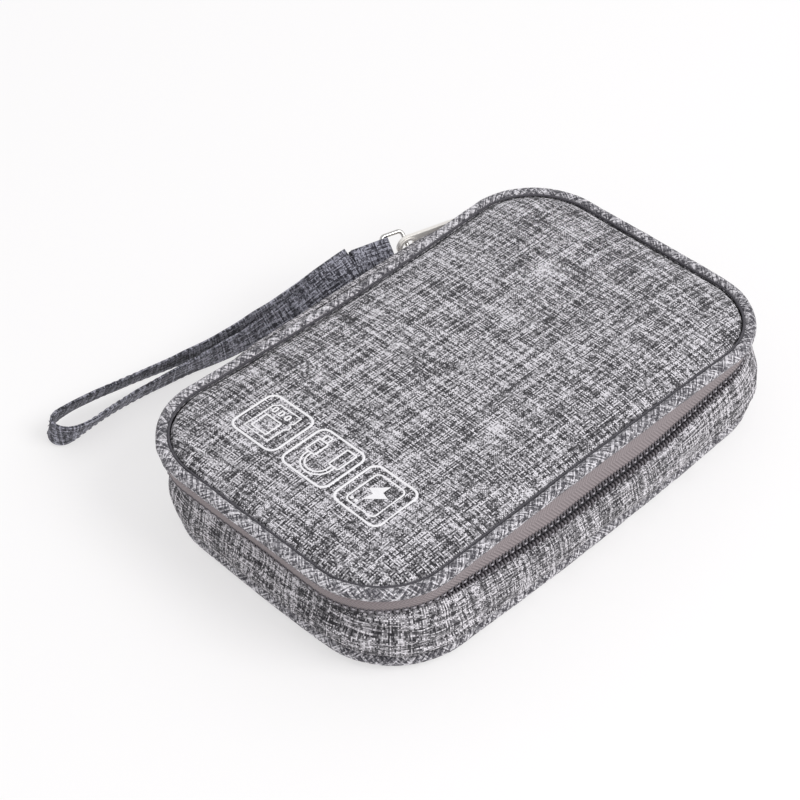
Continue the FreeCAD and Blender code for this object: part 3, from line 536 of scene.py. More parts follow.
def settle(bm, sits):
    """Moves every vertex of a shape by one of the habits."""
    for vert in bm.verts:
        vert.co = sits(vert.co)
    return bm


print("tray corners pressed in by", LEFT_PRESS, "and", NEAR_PRESS, "mm")

# %% [markdown]
# ## Wrist strap
# The strap is a 10 mm tape folded and stitched along both edges, a limp loop of about 24 cm that
# leaves the ring, lies down on the table, turns round at its tip and comes back. A NURBS curve with
# the CAD route's points as control points gives its smooth line; the tilt of each point says how
# the tape twists from lying flat to standing on its edge.

# %% The strap's route and twist
STRAP_WIDTH = 10.0
STRAP_THICK = 1.5
STRAP_ROUTE = [
    (-71.75, 19.9, 26.0, 48), (-74.4, 10.8, 23.2, 8), (-79.6, -5.0, 16.6, 2), (-85.6, -21.5, 10.8, -14),
    (-92.0, -39.5, 7.4, -28), (-97.2, -56.0, 5.9, -33), (-100.6, -70.5, 5.5, -33), (-101.8, -80.0, 5.4, -33),
    (-101.3, -87.2, 5.4, -22), (-96.1, -91.0, 5.4, 0), (-90.8, -87.5, 5.4, 22), (-90.6, -80.3, 5.4, 33),
    (-91.2, -71.0, 5.5, 33), (-90.8, -57.5, 5.4, 30), (-88.2, -41.5, 6.2, 24), (-83.4, -25.0, 8.8, 12),
    (-77.6, -8.5, 13.8, -8), (-73.0, 2.5, 19.6, -35), (-71.05, 10.3, 23.4, -45), (-68.6, 19.0, 26.0, -48),
]
strap_line = smooth_line([point[:3] for point in STRAP_ROUTE], 8)
strap_steps = [0.0]
for before, after in zip(strap_line, strap_line[1:]):
    strap_steps.append(strap_steps[-1] + (after - before).length)
STRAP_LENGTH = strap_steps[-1] * MM
print("strap length", round(STRAP_LENGTH, 4), "m in", len(strap_line), "points")

# %% The strap's places: X across the tape, Y through it
strap_tilts = smooth_line([(index, point[3]) for index, point in enumerate(STRAP_ROUTE)], 8)
strap_places = []
for index, spot in enumerate(strap_line):
    before = strap_line[max(index - 1, 0)]
    after = strap_line[min(index + 1, len(strap_line) - 1)]
    run = (after - before).normalized()
    up = (Vector((0, 0, 1)) - run * run.z).normalized()
    across = Matrix.Rotation(math.radians(strap_tilts[index].y), 3, run) @ up
    matrix = Matrix((across, run.cross(across), run)).transposed().to_4x4()
    matrix.translation = spot
    strap_places.append((strap_steps[index], matrix))

# %% Sew the strap: a flat tape whose edges are a little thinner than its middle
STRAP_EDGE = 0.5
STRAP_SHOULDER = 0.62
SHOULDER_IN = 1.2
CRUMPLE = 0.35
CRUMPLE_SHIFTS = (Vector((0, 0, 0)), Vector((17.3, 0, 0)), Vector((0, 31.7, 0)))
strap_half = STRAP_WIDTH / 2
shoulder_x = strap_half - SHOULDER_IN
strap_under = [(-strap_half, 0), (-strap_half, -STRAP_EDGE), (-shoulder_x, -STRAP_SHOULDER),
               (0, -STRAP_THICK / 2), (shoulder_x, -STRAP_SHOULDER), (strap_half, -STRAP_EDGE)]
strap_over = [(-x, -y) for x, y in strap_under]
strap_outline = flat_line([*strap_under, *strap_over, strap_under[0]], 3)


def crumple(point, along, around):
    """Small waves of a limp tape, the same in every run."""
    return point + Vector([noise.noise(point * 0.11 + shift) for shift in CRUMPLE_SHIFTS]) * CRUMPLE


strap = piece("wrist_strap_tape", sweep(strap_outline, strap_places, crumple), strap_cloth, "strap",
              "strap_fabric", "wrist_strap")

# %% [markdown]
# Stitches are short raised dashes. One dash is a stretched ball; it is copied to every place on a
# list, so a row of stitches costs only a few dozen faces each.

# %% Copies of one small shape


def small_ball(length, wide, high):
    """A low-poly ball, stretched along its local Z."""
    bm = bmesh.new()
    bmesh.ops.create_icosphere(bm, subdivisions=1, radius=0.5)
    bmesh.ops.scale(bm, vec=(wide, high, length), verts=bm.verts)
    return bm


def repeat(shape, matrices):
    """One bmesh that holds a copy of a shape at every matrix."""
    template = bpy.data.meshes.new("template")
    shape.to_mesh(template)
    shape.free()
    bm = bmesh.new()
    for matrix in matrices:
        copy = template.copy()
        copy.transform(matrix)
        bm.from_mesh(copy)
        bpy.data.meshes.remove(copy)
    bpy.data.meshes.remove(template)
    return bm


def spaced(places, pitch, start=0.0, stop=None):
    """Matrices every pitch along a list of places."""
    found = []
    target = places[0][0] + start
    last = places[-1][0] if stop is None else stop
    for (low, first), (high, second) in zip(places, places[1:]):
        while target <= high and target <= last:
            found.append(first.lerp(second, (target - low) / (high - low)))
            target += pitch
    return found


STITCH_PITCH = 2.6
STITCH = (1.8, 0.4, 0.3)
stitch_spots = []
for side in (-1, 1):
    for face in (-1, 1):
        shift = Matrix.Translation((side * (strap_half - 1.3), face * 0.66, 0))
        stitch_spots += [matrix @ shift for matrix in spaced(strap_places, STITCH_PITCH, 2.0)]
strap_stitches = piece("wrist_strap_stitches", repeat(small_ball(*STITCH), stitch_spots), dark_thread,
                       "strap", "thread")

# %% [markdown]
# The strap's two ends are folded over the ring's bar and sewn flat. The fold is a thick ribbon
# round the wire, made by sweeping its profile across the strap. It lies in the ring's own frame,
# whose origin is the pull's eye.

# %% The fold round the ring
RING_HEADING = math.radians(-106)
RING_ROLL = math.radians(-40)
FOLD_HALF = 4.5
FOLD_CLOTH = 1.45
eye = Vector(next(joint["pos_m"] for joint in frame["joints"] if joint["child"] == "strap")) / MM
ring_turn = Matrix.Rotation(RING_HEADING, 4, "Z") @ Matrix.Rotation(RING_ROLL, 4, "X")
ring_place = Matrix.Translation(eye) @ ring_turn
fold_line = flat_line([(20.0, 1.7), (14.0, 2.0), (10.5, 2.7), (7.0, 2.9), (5.3, 0.0), (7.0, -2.9),
                       (10.5, -2.7), (14.0, -2.0), (20.0, -1.7)], 5)
fold_section = wall_section(fold_line, FOLD_CLOTH)
across_ring = Matrix(((1, 0, 0, 0), (0, 0, -1, 0), (0, 1, 0, 0), (0, 0, 0, 1)))
fold_places = [(step, ring_place @ across_ring @ Matrix.Translation((0, 0, step)))
               for step in (-FOLD_HALF, -FOLD_HALF / 2, 0.0, FOLD_HALF / 2, FOLD_HALF)]
strap_fold = piece("strap_fold", sweep(fold_section, fold_places), strap_cloth, "strap", "strap_fabric",
                   "strap_end")
ring = frame["nodes"]["strap_ring"]

# %% [markdown]
# ## Padded lid and bottom
# Each panel is cloth over a sheet of foam. The shape starts as a flat rounded sheet with a low
# crown, is given a body by extruding it down, and is remeshed into even cells. Cloth simulation
# with a little inner pressure then swells it the way foam does, while its rim stays sewn; each
# point may move only a little.

# %% A rounded sheet of quads


def depth_inside(x, y, half_x, half_y, radius):
    """How far a point lies inside a rounded rectangle."""
    over_x = abs(x) - (half_x - radius)
    over_y = abs(y) - (half_y - radius)
    outside = math.hypot(max(over_x, 0), max(over_y, 0))
    return radius - outside - min(max(over_x, over_y), 0)


def rounded_sheet(half_x, half_y, radius, cell):
    """A grid whose square corners are drawn in to round ones."""
    bm = bmesh.new()
    columns, rows = round(2 * half_x / cell), round(2 * half_y / cell)
    bmesh.ops.create_grid(bm, x_segments=columns, y_segments=rows, size=1)
    bmesh.ops.scale(bm, vec=(half_x, half_y, 1), verts=bm.verts)
    for vert in bm.verts:
        over_x = abs(vert.co.x) - (half_x - radius)
        over_y = abs(vert.co.y) - (half_y - radius)
        if over_x > 0 and over_y > 0:
            round_x = over_x * math.sqrt(1 - (over_y / radius) ** 2 / 2)
            round_y = over_y * math.sqrt(1 - (over_x / radius) ** 2 / 2)
            vert.co.x = math.copysign(half_x - radius + round_x, vert.co.x)
            vert.co.y = math.copysign(half_y - radius + round_y, vert.co.y)
    return bm


def flat_uv(bm):
    """A UV map in millimetres, seen from above."""
    uv = bm.loops.layers.uv.verify()
    for face in bm.faces:
        for loop in face.loops:
            loop[uv].uv = (loop.vert.co.x, loop.vert.co.y)


def thick_sheet(bm, height):
    """Extrudes a sheet downwards into a closed slab."""
    made = bmesh.ops.extrude_face_region(bm, geom=bm.faces[:])["geom"]
    fresh = [item for item in made if isinstance(item, bmesh.types.BMVert)]
    bmesh.ops.translate(bm, vec=(0, 0, -height), verts=fresh)
    bmesh.ops.recalc_face_normals(bm, faces=bm.faces)
    return bm


# %% Swell a pad with cloth pressure
SWELL_FRAMES = 20
SEWN_WIDTH = 2.5


def swell(pad, cell, pressure, limit, is_sewn, keep):
    """Remeshes a pad, lets pressure swell it, and puts each point within limit of its start."""
    remesh = pad.modifiers.new("Cells", "REMESH")
    remesh.mode = "VOXEL"
    remesh.voxel_size = cell * MM
    graph = bpy.context.evaluated_depsgraph_get()
    even = bpy.data.meshes.new_from_object(pad.evaluated_get(graph), depsgraph=graph)
    pad.modifiers.clear()
    pad.data = even
    start = [vert.co.copy() for vert in even.vertices]
    sewn = pad.vertex_groups.new(name="sewn")
    sewn.add([vert.index for vert in even.vertices if is_sewn(vert.co / MM)], 1.0, "REPLACE")
    cloth = pad.modifiers.new("Cloth", "CLOTH")
    cloth.settings.quality = 5
    cloth.settings.mass = 0.1
    cloth.settings.vertex_group_mass = "sewn"
    cloth.settings.use_pressure = True
    cloth.settings.uniform_pressure_force = pressure
    cloth.settings.effector_weights.gravity = 0
    scene = bpy.context.scene
    for number in range(1, SWELL_FRAMES + 1):
        scene.frame_set(number)
    graph = bpy.context.evaluated_depsgraph_get()
    swollen = [vert.co.copy() for vert in pad.evaluated_get(graph).data.vertices]
    pad.modifiers.clear()
    scene.frame_set(1)
    for vert, first, last in zip(even.vertices, start, swollen):
        shift = last - first
        if shift.length > limit * MM:
            shift *= limit * MM / shift.length
        vert.co = keep(first + shift)
    even.shade_smooth()
    finer = pad.modifiers.new("Finer", "SUBSURF")
    finer.levels = 1
    finer.render_levels = 1
    print(pad.name, "cells", len(even.polygons))
    return pad


# %% The lid's pad: steep at its seam, then almost flat, with soft hollows
LID_INSET = 4.15
lid_half_x = HALF_X - LID_INSET
lid_half_y = HALF_Y - LID_INSET
lid_radius = CORNER - LID_INSET
LID_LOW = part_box("lid_foam")[0].z / MM
LID_RISE = 2.75
LID_SHOULDER = 2.4
LID_CROWN = 0.5
LID_HOLLOW = 0.42
PAD_CELL = 2.0


def lid_top(x, y):
    """Height of the lid's cloth over a point."""
    inside = depth_inside(x, y, lid_half_x, lid_half_y, lid_radius)
    rise = LID_RISE * (1 - math.exp(-max(inside, 0) / LID_SHOULDER))
    crown = LID_CROWN * (1 - (x / lid_half_x) ** 2) * (1 - (y / lid_half_y) ** 2)
    hollow = LID_HOLLOW * noise.noise(Vector((x / 34, y / 46, 1.7))) * min(max(inside, 0) / 12, 1)
    return LID_SEAM + 0.1 + rise + crown + hollow


def near_seam(at):
    """Whether a point is close enough to the panel's edge to be sewn."""
    return depth_inside(at.x, at.y, lid_half_x, lid_half_y, lid_radius) < SEWN_WIDTH


lid_sheet = rounded_sheet(lid_half_x, lid_half_y, lid_radius, PAD_CELL)
thick_sheet(lid_sheet, 1.0)
for vert in lid_sheet.verts:
    vert.co.z = lid_top(vert.co.x, vert.co.y) if vert.co.z > -0.5 else LID_LOW
lid_pad = piece("lid_padded_panel", settle(lid_sheet, lid_sits), panel_cloth, None, "heather_fabric",
                "lid_panel", "lid_foam")
swell(lid_pad, cell=1.8, pressure=2.0, limit=0.5,
      is_sewn=lambda at: at.z < LID_LOW + 1 or near_seam(at),
      keep=lambda at: at)
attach(lid_pad, "lid")

# %% The bottom pad: flat where it rests, rising to its seam
BASE_RUN = 7.0
BASE_RISE = 3.3
BASE_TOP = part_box("base_foam")[1].z / MM


def base_low(x, y):
    """Height of the bottom cloth over the table."""
    inside = depth_inside(x, y, lid_half_x, lid_half_y, lid_radius)
    rise = max(0.0, 1 - max(inside, 0) / BASE_RUN)
    return BASE_RISE * rise ** 2


base_sheet = rounded_sheet(lid_half_x, lid_half_y, lid_radius, PAD_CELL)
thick_sheet(base_sheet, 1.0)
for vert in base_sheet.verts:
    vert.co.z = BASE_TOP if vert.co.z > -0.5 else base_low(vert.co.x, vert.co.y)
base_pad = piece("bottom_padded_panel", settle(base_sheet, tray_sits), panel_cloth, None, "heather_fabric",
                 "base_panel", "base_foam")
swell(base_pad, cell=2.4, pressure=2.0, limit=0.4,
      is_sewn=lambda at: at.z > BASE_TOP - 1 or near_seam(at),
      keep=lambda at: Vector((at.x, at.y, max(at.z, 0.0))))
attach(base_pad, "tray")

# %% [markdown]
# ## Piping
# A cord bound in a bias strip of the same canvas runs round each panel. It is a tube swept round
# the whole rim; the strip's two ends overlap on a slant, which shows as a low step. Tiny waves keep
# it from looking like bent wire. A thin dark cord in the seam between the lid's panel and its
# piping is painted shade: it stands in for the shadow down in the seam.

# %% Both pipings
JOIN_WIDTH = 5.0
JOIN_STEP = 0.18
CORD_SIDES = 18
SEAM_IN = 4.05
SEAM_UP = 1.0
SEAM_RADIUS = 0.42


def ring_section(out, up, radius, sides):
    """A closed round section, its middle that far out and up."""
    turns = [2 * math.pi * index / sides for index in range(sides + 1)]
    return [(out + radius * math.cos(turn), up + radius * math.sin(turn)) for turn in turns]


def piping(name, seam, body, join_at, node, sits):
    """The bound cord round one panel."""
    circle = ring_section(-PIPING, seam, PIPING, CORD_SIDES)

    def wavy(point, along, around):
        middle = rim_place(along) @ Vector((-PIPING, seam, 0))
        spoke = point - middle
        beyond = along - join_at - 0.6 * around
        step = JOIN_STEP if 0 < beyond < JOIN_WIDTH else 0.0
        swelling = 0.14 * noise.noise(point * 0.16) + 0.05 * noise.noise(point * 0.6)
        wave = Vector((0, 0, 0.25 * noise.noise(middle * 0.03)))
        return middle + spoke * (0.97 + (step + swelling) / PIPING) + wave

    bm = settle(sweep(circle, rim_places(0, PERIMETER, 1.5), wavy), sits)
    return piece(name, bm, bias_cloth, body, "piping", node)


piping("lid_bound_piping", LID_SEAM, "lid", 92.0, "lid_piping", lid_sits)
# Painted shade: a thin dark cord between the lid's panel and its piping stands in for the seam's shadow.
seam_ring = ring_section(-SEAM_IN, LID_SEAM + SEAM_UP, SEAM_RADIUS, 6)
seam_sweep = sweep(seam_ring, rim_places(0, PERIMETER, 2.0))
piece("lid_seam_painted_shade", settle(seam_sweep, lid_sits), seam_painted_shade, "lid", "thread")
piping("bottom_bound_piping", BASE_SEAM, "tray", 452.0, "base_piping", tray_sits)

# %% [markdown]
# ## Zipper tapes
# Each tape is a strip of herringbone weave. The upper one leans inwards under the lid's piping; the
# lower one is mostly hidden behind the hem of the tray's wall. Both stop where the spine begins.

# %% Both tapes
BAND_START = SPINE_HALF + 0.4
BAND_STOP = PERIMETER - BAND_START
band_places = rim_places(BAND_START, BAND_STOP, 1.5)
TAPE_TOP = 32.6
TAPE_FOOT = 26.3
TAPE_THICK = 0.6
TAPE_GAPE_OUT = 2.8
TAPE_GAPE_DOWN = 0.8 * ZIP_HANG


def hang(point, along, around):
    """The upper tape reaches lower and further out where the zipper gapes, and ripples a little."""
    reach = (TAPE_TOP - point.z) / (TAPE_TOP - TAPE_FOOT)
    out = rim_place(along).col[0].xyz
    ripple = 0.3 * noise.noise(Vector((along / 22, point.z / 22, 3.1)))
    gape = opened(along) * reach
    return point + out * (ripple + TAPE_GAPE_OUT * gape) - Vector((0, 0, TAPE_GAPE_DOWN * gape))


def sag(amount, wave):
    """A gentle ripple along a band, the same on both its faces."""
    def shifted(point, along, around):
        ripple = noise.noise(Vector((along / wave, point.z / wave, 3.1)))
        return point + rim_place(along).col[0].xyz * ripple * amount
    return shifted


upper_line = flat_line([(-2.5, TAPE_FOOT), (-2.3, 27.2), (-1.8, 29.2), (-1.5, 31.3), (-1.5, TAPE_TOP)], 5)
upper_band = sweep(wall_section(upper_line, TAPE_THICK), band_places, hang)
piece("upper_zip_tape_weave", settle(upper_band, lid_sits), tape_weave, "lid", "zip_tape", "upper_zip_tape")
lower_line = flat_line([(-2.2, 18.8), (-2.1, 20.2), (-2.3, 21.3), (-2.7, 22.4)], 5)
lower_band = sweep(wall_section(lower_line, TAPE_THICK), band_places, sag(0.2, 22))
piece("lower_zip_tape_weave", settle(lower_band, tray_sits), tape_weave, "tray", "zip_tape", "lower_zip_tape")

# %% [markdown]
# ## Zipper coil
# The teeth are the turns of a nylon coil, sewn to each tape. A turn is a small ring: a circle spun
# round an axis and pressed oval. The lower row is half a pitch further on, so the two rows
# interlock. A pale stitch crosses every second gap, which gives the row of light dots.

# %% Coil turns and their stitches
COIL_PITCH = 1.35
COIL_WIRE = 0.34
COIL_TURN = 0.72
COIL_SHAPE = (0.9, 1.25, 1.05)
COIL_IN = 3.0
COIL_STITCH = (1.1, 0.5, 0.75)


def coil_turn():
    """One oval turn of the coil, with its axis along local Z."""
    bm = bmesh.new()
    made = bmesh.ops.create_circle(bm, segments=6, radius=COIL_WIRE)
    bmesh.ops.rotate(bm, matrix=Matrix.Rotation(math.pi / 2, 3, "X"), verts=made["verts"])
    bmesh.ops.translate(bm, vec=(COIL_TURN, 0, 0), verts=made["verts"])
    bmesh.ops.spin(bm, geom=bm.edges[:] + bm.verts[:], axis=(0, 0, 1), cent=(0, 0, 0), angle=2 * math.pi,
                   steps=10, use_merge=True)
    bmesh.ops.scale(bm, vec=COIL_SHAPE, verts=bm.verts)
    bmesh.ops.recalc_face_normals(bm, faces=bm.faces)
    return bm


def coil_row(name, height, start, reach, body, node, sits):
    """A row of coil turns and the row of stitches that holds it; reach is how far a gape moves it out."""
    turns = []
    dashes = []
    for index, matrix in enumerate(spaced(band_places, COIL_PITCH, start)):
        gape = opened(BAND_START + start + COIL_PITCH * index)
        middle = matrix @ Matrix.Translation((reach * gape - COIL_IN, height - ZIP_HANG * gape, 0))
        middle.translation = sits(middle.translation.copy())
        turns.append(middle)
        if index % 2:
            dashes.append(middle @ Matrix.Translation((0.9, 0.1, COIL_PITCH / 2)))
    piece(name, repeat(coil_turn(), turns), coil_nylon, body, "zip_coil", node)
    piece(name + "_stitches", repeat(small_ball(*COIL_STITCH), dashes), coil_thread, body, "thread")


coil_row("upper_coil_turns", ZIP_LINE + 0.2, 0.5, 3.3, "lid", "upper_zip_coil", lid_sits)
coil_row("lower_coil_turns", ZIP_LINE - 1.7, 0.5 + COIL_PITCH / 2, 1.8, "tray", "lower_zip_coil",
         tray_sits)

# %% [markdown]
# ## Tray wall
# The wall is canvas over thin foam, nearly empty inside, so it slumps: it bulges low down and
# creases along its length, most of all round the corners. The section is swept round three sides;
# the creases are long noise that moves both faces of the cloth together.

# %% The wall and its creases
NEAR_CORNER = STRAIGHT_Y / 2 + QUARTER * 1.5 + STRAIGHT_X
WALL_TOP = 25.2
WALL_OPEN = 4.4
WALL_GAPE_OUT = 1.6
CREASE_LONG = 30.0
CREASE_HIGH = 3.4
CREASE_DEPTH = 2.2
ARCH_TOP = 18.5
ARCH_REACH = 24.0
ARCH_DEPTH = 1.6
ARCH_BEFORE = 3.0


def fold_wave(along, height, seed):
    """A crease pattern: long along the rim, narrow up the wall, with sharp valleys."""
    wave = noise.noise(Vector((along / CREASE_LONG, height / CREASE_HIGH, seed)))
    return 0.6 - CREASE_DEPTH * abs(wave)


def creased(point, along, around):
    """Soft horizontal folds, deeper near the corners, and one arched fold at the front right corner."""
    height = min(max((point.z - BASE_SEAM) / (WALL_TOP - BASE_SEAM), 0), 1)
    held = math.sin(math.pi * height) ** 0.6
    turn = min(abs(along - NEAR_CORNER) / 50, 1)
    deep = 0.8 + (1 - turn) ** 2
    small = noise.noise(Vector((along / 9, point.z / 2.6, 5)))
    from_arch = along - NEAR_CORNER + ARCH_BEFORE
    arch_height = ARCH_TOP - (from_arch / 8) ** 2
    arch_fade = max(0.0, 1 - abs(from_arch) / ARCH_REACH)
    arch = -ARCH_DEPTH * math.exp(-(point.z - arch_height) ** 2) * arch_fade
    wide = 0.5 * noise.noise(Vector((along / 60, 0, 9.2)))
    gape = opened(along) * height ** 2
    out = (deep * (fold_wave(along, point.z, 0.4) + 0.3 * small) + arch + wide) * held + WALL_GAPE_OUT * gape
    lowered = Vector((0, 0, -WALL_OPEN * gape))
    return point + rim_place(along).col[0].xyz * out + lowered


WALL_CLOTH = 1.0
WALL_OVERLAP = 1.2
wall_line = flat_line([(-1.9, 5.0), (-1.2, 6.3), (0.6, 8.0), (1.7, 11.0), (1.6, 15.0), (0.9, 19.0),
                       (-0.3, 22.6), (-1.5, 24.8), (-2.4, WALL_TOP)], 6)
wall_places = rim_places(BAND_START - WALL_OVERLAP, BAND_STOP + WALL_OVERLAP, 1.2)
wall_band = settle(sweep(wall_section(wall_line, WALL_CLOTH), wall_places, creased), tray_sits)
wall = piece("tray_wall_canvas", wall_band, wall_cloth, "tray", "heather_fabric", "tray_gusset")

# %% [markdown]
# ## Spine
# The spine joins the lid to the tray like the back of a book. It is one strip of canvas that
# slumps a little between its two seams; it is built where it stands and rides on neither the tray
# nor the lid.

# %% Spine canvas, its lining and the thread bars at its ends


SPINE_SLACK = 2.1
SPINE_RIPPLE = 0.7
SPINE_OVERLAP = 0.6
LINING_CLOTH = 0.5


def spine_waves(point, along, around):
    """The canvas slumps a little between its two seams."""
    held = math.sin(math.pi * min(max((point.z - 5) / 27, 0), 1))
    wave = noise.noise(Vector((along / 24, point.z / 5, 2.2)))
    slack = ease((SPINE_HALF - abs(along)) / 26) * ease((point.z - 16) / 14)
    return point + Vector((-SPINE_RIPPLE * wave * held - SPINE_SLACK * slack, 0, 0.5 * slack))


spine_line = flat_line([(-1.9, 5.0), (-1.2, 6.3), (0.6, 8.0), (1.7, 11.0), (1.8, 16.0), (1.6, 22.0),
                        (1.3, 27.0), (1.0, 30.6), (0.0, 32.6), (-2.4, 32.8)], 6)
spine_places = rim_places(-SPINE_HALF - SPINE_OVERLAP, SPINE_HALF + SPINE_OVERLAP, 1.5)
spine_band = sweep(wall_section(spine_line, WALL_CLOTH), spine_places, spine_waves)
spine = piece("spine_canvas", spine_band, wall_cloth, None, "heather_fabric", "spine_panel")
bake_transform(spine)

lining_line = flat_line([(-3.5, 7.5), (-3.4, 12.0), (-3.2, 22.0), (-2.9, 29.0), (-2.2, 31.3)], 5)
lining_band = sweep(wall_section(lining_line, LINING_CLOTH), rim_places(-SPINE_HALF, SPINE_HALF, 2.0))
spine_lining = piece("spine_lining_cloth", lining_band, lining_weave, None, "lining", "spine_lining",
                     "spine_foam")
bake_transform(spine_lining)

TACK = (2.4, 0.5, 0.5)
TACK_FROM, TACK_PITCH = 26.0, 0.55
tack_spots = []
for side in (-1, 1):
    for index in range(9):
        height = TACK_FROM + TACK_PITCH * index
        base = Matrix.Translation((-HALF_X - 2.1, side * (SPINE_HALF - 1.0), height))
        tack_spots.append(base @ Matrix.Rotation(math.pi / 2 + 0.12 * (-1) ** index, 4, "X"))
piece("spine_bar_tacks", repeat(small_ball(*TACK), tack_spots), sewing_thread, "tray", "thread", "bar_tacks")

# %% [markdown]
# ## Slider, pull and ring
# The slider and the pull are small zinc castings. The CAD shape is right, but a cast edge is never
# sharp: a copy of each of their CAD meshes is merged, its flat faces are joined and its sharp edges
# are bevelled. The ring keeps its CAD mesh and only gets a bright nickel finish.

# %% Soften the castings


def softened(node, name, material, body, slot, edge):
    """A copy of a CAD node with bevelled edges."""
    bm = bmesh.new()
    bm.from_mesh(frame["nodes"][node].data)
    bmesh.ops.scale(bm, vec=(1 / MM,) * 3, verts=bm.verts)
    bmesh.ops.remove_doubles(bm, verts=bm.verts, dist=0.002)
    bmesh.ops.dissolve_limit(bm, angle_limit=math.radians(1), verts=bm.verts, edges=bm.edges)
    sharp = math.radians(40)
    corners = [item for item in bm.edges if item.is_manifold and item.calc_face_angle(0) > sharp]
    bmesh.ops.bevel(bm, geom=corners, offset=edge, offset_type="OFFSET", segments=2, profile=0.5,
                    affect="EDGES", material=-1, clamp_overlap=True)
    bmesh.ops.triangulate(bm, faces=[face for face in bm.faces if len(face.verts) > 4])
    bmesh.ops.recalc_face_normals(bm, faces=bm.faces)
    return piece(name, bm, material, body, slot, node, sharp=35.0)


softened("slider_body", "slider_casting", dark_zinc, "slider", "gunmetal", 0.25)
softened("slider_bridge", "slider_arch", dark_zinc, "slider", "gunmetal", 0.3)
softened("pull_tab", "pull_blade", satin_nickel, "pull", "satin_nickel", 0.22)
ring.data.materials.clear()
ring.data.materials.append(bright_nickel)

# %% [markdown]
# ## Printed pictograms
# Three line drawings are printed on the lid in white ink: a memory card, a cable and a power bank.
# Each line is a curve with a round bevel, pressed flat and laid on the cloth by looking straight
# down for the lid's surface.

# %% Lines and frames of the pictograms
ICON_LINE = 0.62
ICON_FRAME_LINE = 0.86
ICON_FRAME = 19.6
ICON_FRAME_RADIUS = 3.0
frames_low, frames_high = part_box("printed_icons")
ICON_SIZE = (frames_high.y - frames_low.y) / MM
ICON_Y = (frames_low.y + frames_high.y) / MM / 2
ICON_FIRST = frames_low.x / MM + ICON_SIZE / 2
ICON_PITCH = ((frames_high.x - frames_low.x) / MM - ICON_SIZE) / 2


def rounded_box(left, low, right, high, radius):
    """A closed outline with round corners."""
    points = []
    centres = ((right - radius, high - radius), (left + radius, high - radius),
               (left + radius, low + radius), (right - radius, low + radius))
    for quarter, (x, y) in enumerate(centres):
        for step in range(6):
            angle = math.pi / 2 * (quarter + step / 5)
            points.append((x + radius * math.cos(angle), y + radius * math.sin(angle)))
    return [*points, points[0]]


def u_bend(half, top_left, low, top_right):
    """A cable that hangs in a U between two ends."""
    turn = [(half * math.cos(a), low + half + half * math.sin(a))
            for a in (math.pi + math.pi * step / 16 for step in range(17))]
    return [(-half, top_left), *turn, (half, top_right)]


ICONS = [
    [
        rounded_box(-3.7, -4.7, 2.2, 1.2, 0.2),
        [(-5.1, -6.1), (-5.1, 5.0), (-3.5, 6.5), (4.8, 6.5), (4.8, 3.4), (4.0, 2.7), (5.3, 1.9), (5.3, 0.8),
         (4.5, 0.2), (4.5, -6.1), (-5.1, -6.1)],
        *[rounded_box(x, 3.2, x + 1.1, 5.1, 0.5) for x in (-3.9, -1.4, 1.2)],
    ],
    [
        rounded_box(-6.3, -0.9, -2.7, 4.6, 0.5),
        rounded_box(-5.6, 4.6, -3.4, 7.0, 0.2),
        rounded_box(2.6, -0.5, 6.2, 6.9, 0.5),
        u_bend(5.0, -0.9, -7.0, -0.5),
        u_bend(3.8, -0.9, -5.8, -0.5),
    ],
    [
        rounded_box(-5.4, -6.6, 5.4, 6.6, 1.7),
        rounded_box(-4.3, -5.4, -3.7, -4.8, 0.28),
        rounded_box(-2.7, -5.4, -2.1, -4.8, 0.28),
    ],
]
ICON_SCALE = 1.07
BOLT = [(0.9, 5.0), (-3.2, 0.6), (-0.9, -0.2), (-1.6, -3.6), (3.4, 1.2), (0.9, 2.0)]
print(len(ICONS), "pictograms, each", round(ICON_SIZE, 1), "mm wide")

# %% Lay the ink on the lid


def ink_line(points, wide):
    """A stroke of ink along a line."""
    curve = bpy.data.curves.new("stroke", "CURVE")
    curve.dimensions = "3D"
    curve.bevel_depth = wide / 2
    curve.bevel_resolution = 1
    closed = points[0] == points[-1]
    spline = curve.splines.new("POLY")
    corners = points[:-1] if closed else points
    spline.points.add(len(corners) - 1)
    for target, (x, y) in zip(spline.points, corners):
        target.co = (x, y, 0, 1)
    spline.use_cyclic_u = closed
    holder = bpy.data.objects.new("stroke", curve)
    mesh = bpy.data.meshes.new_from_object(holder)
    bpy.data.objects.remove(holder)
    return mesh


graph = bpy.context.evaluated_depsgraph_get()
lid_skin = BVHTree.FromObject(lid_pad, graph)
INK_HIGH = 0.12
BOLT_HALF = 0.25
ink = bmesh.new()
half_icon = (ICON_FRAME - ICON_FRAME_LINE) / 2
for number, drawing in enumerate(ICONS):
    place = Matrix.Translation((ICON_FIRST + number * ICON_PITCH, ICON_Y, 0))
    drawing = [[(x * ICON_SCALE, y * ICON_SCALE) for x, y in line] for line in drawing]
    frame_line = rounded_box(-half_icon, -half_icon, half_icon, half_icon, ICON_FRAME_RADIUS)
    for line, wide in ((frame_line, ICON_FRAME_LINE), *((line, ICON_LINE) for line in drawing)):
        stroke = ink_line(line, wide)
        stroke.transform(place)
        ink.from_mesh(stroke)
bolt_place = Vector((ICON_FIRST + 2 * ICON_PITCH, ICON_Y, 0))
bolt_points = [bolt_place + Vector((x * ICON_SCALE, y * ICON_SCALE, BOLT_HALF)) for x, y in BOLT]
bolt = ink.faces.new([ink.verts.new(point) for point in bolt_points])
bolt_sides = bmesh.ops.extrude_face_region(ink, geom=[bolt])["geom"]
bolt_under = [item for item in bolt_sides if isinstance(item, bmesh.types.BMVert)]
bmesh.ops.translate(ink, vec=(0, 0, -2 * BOLT_HALF), verts=bolt_under)
bmesh.ops.recalc_face_normals(ink, faces=ink.faces)
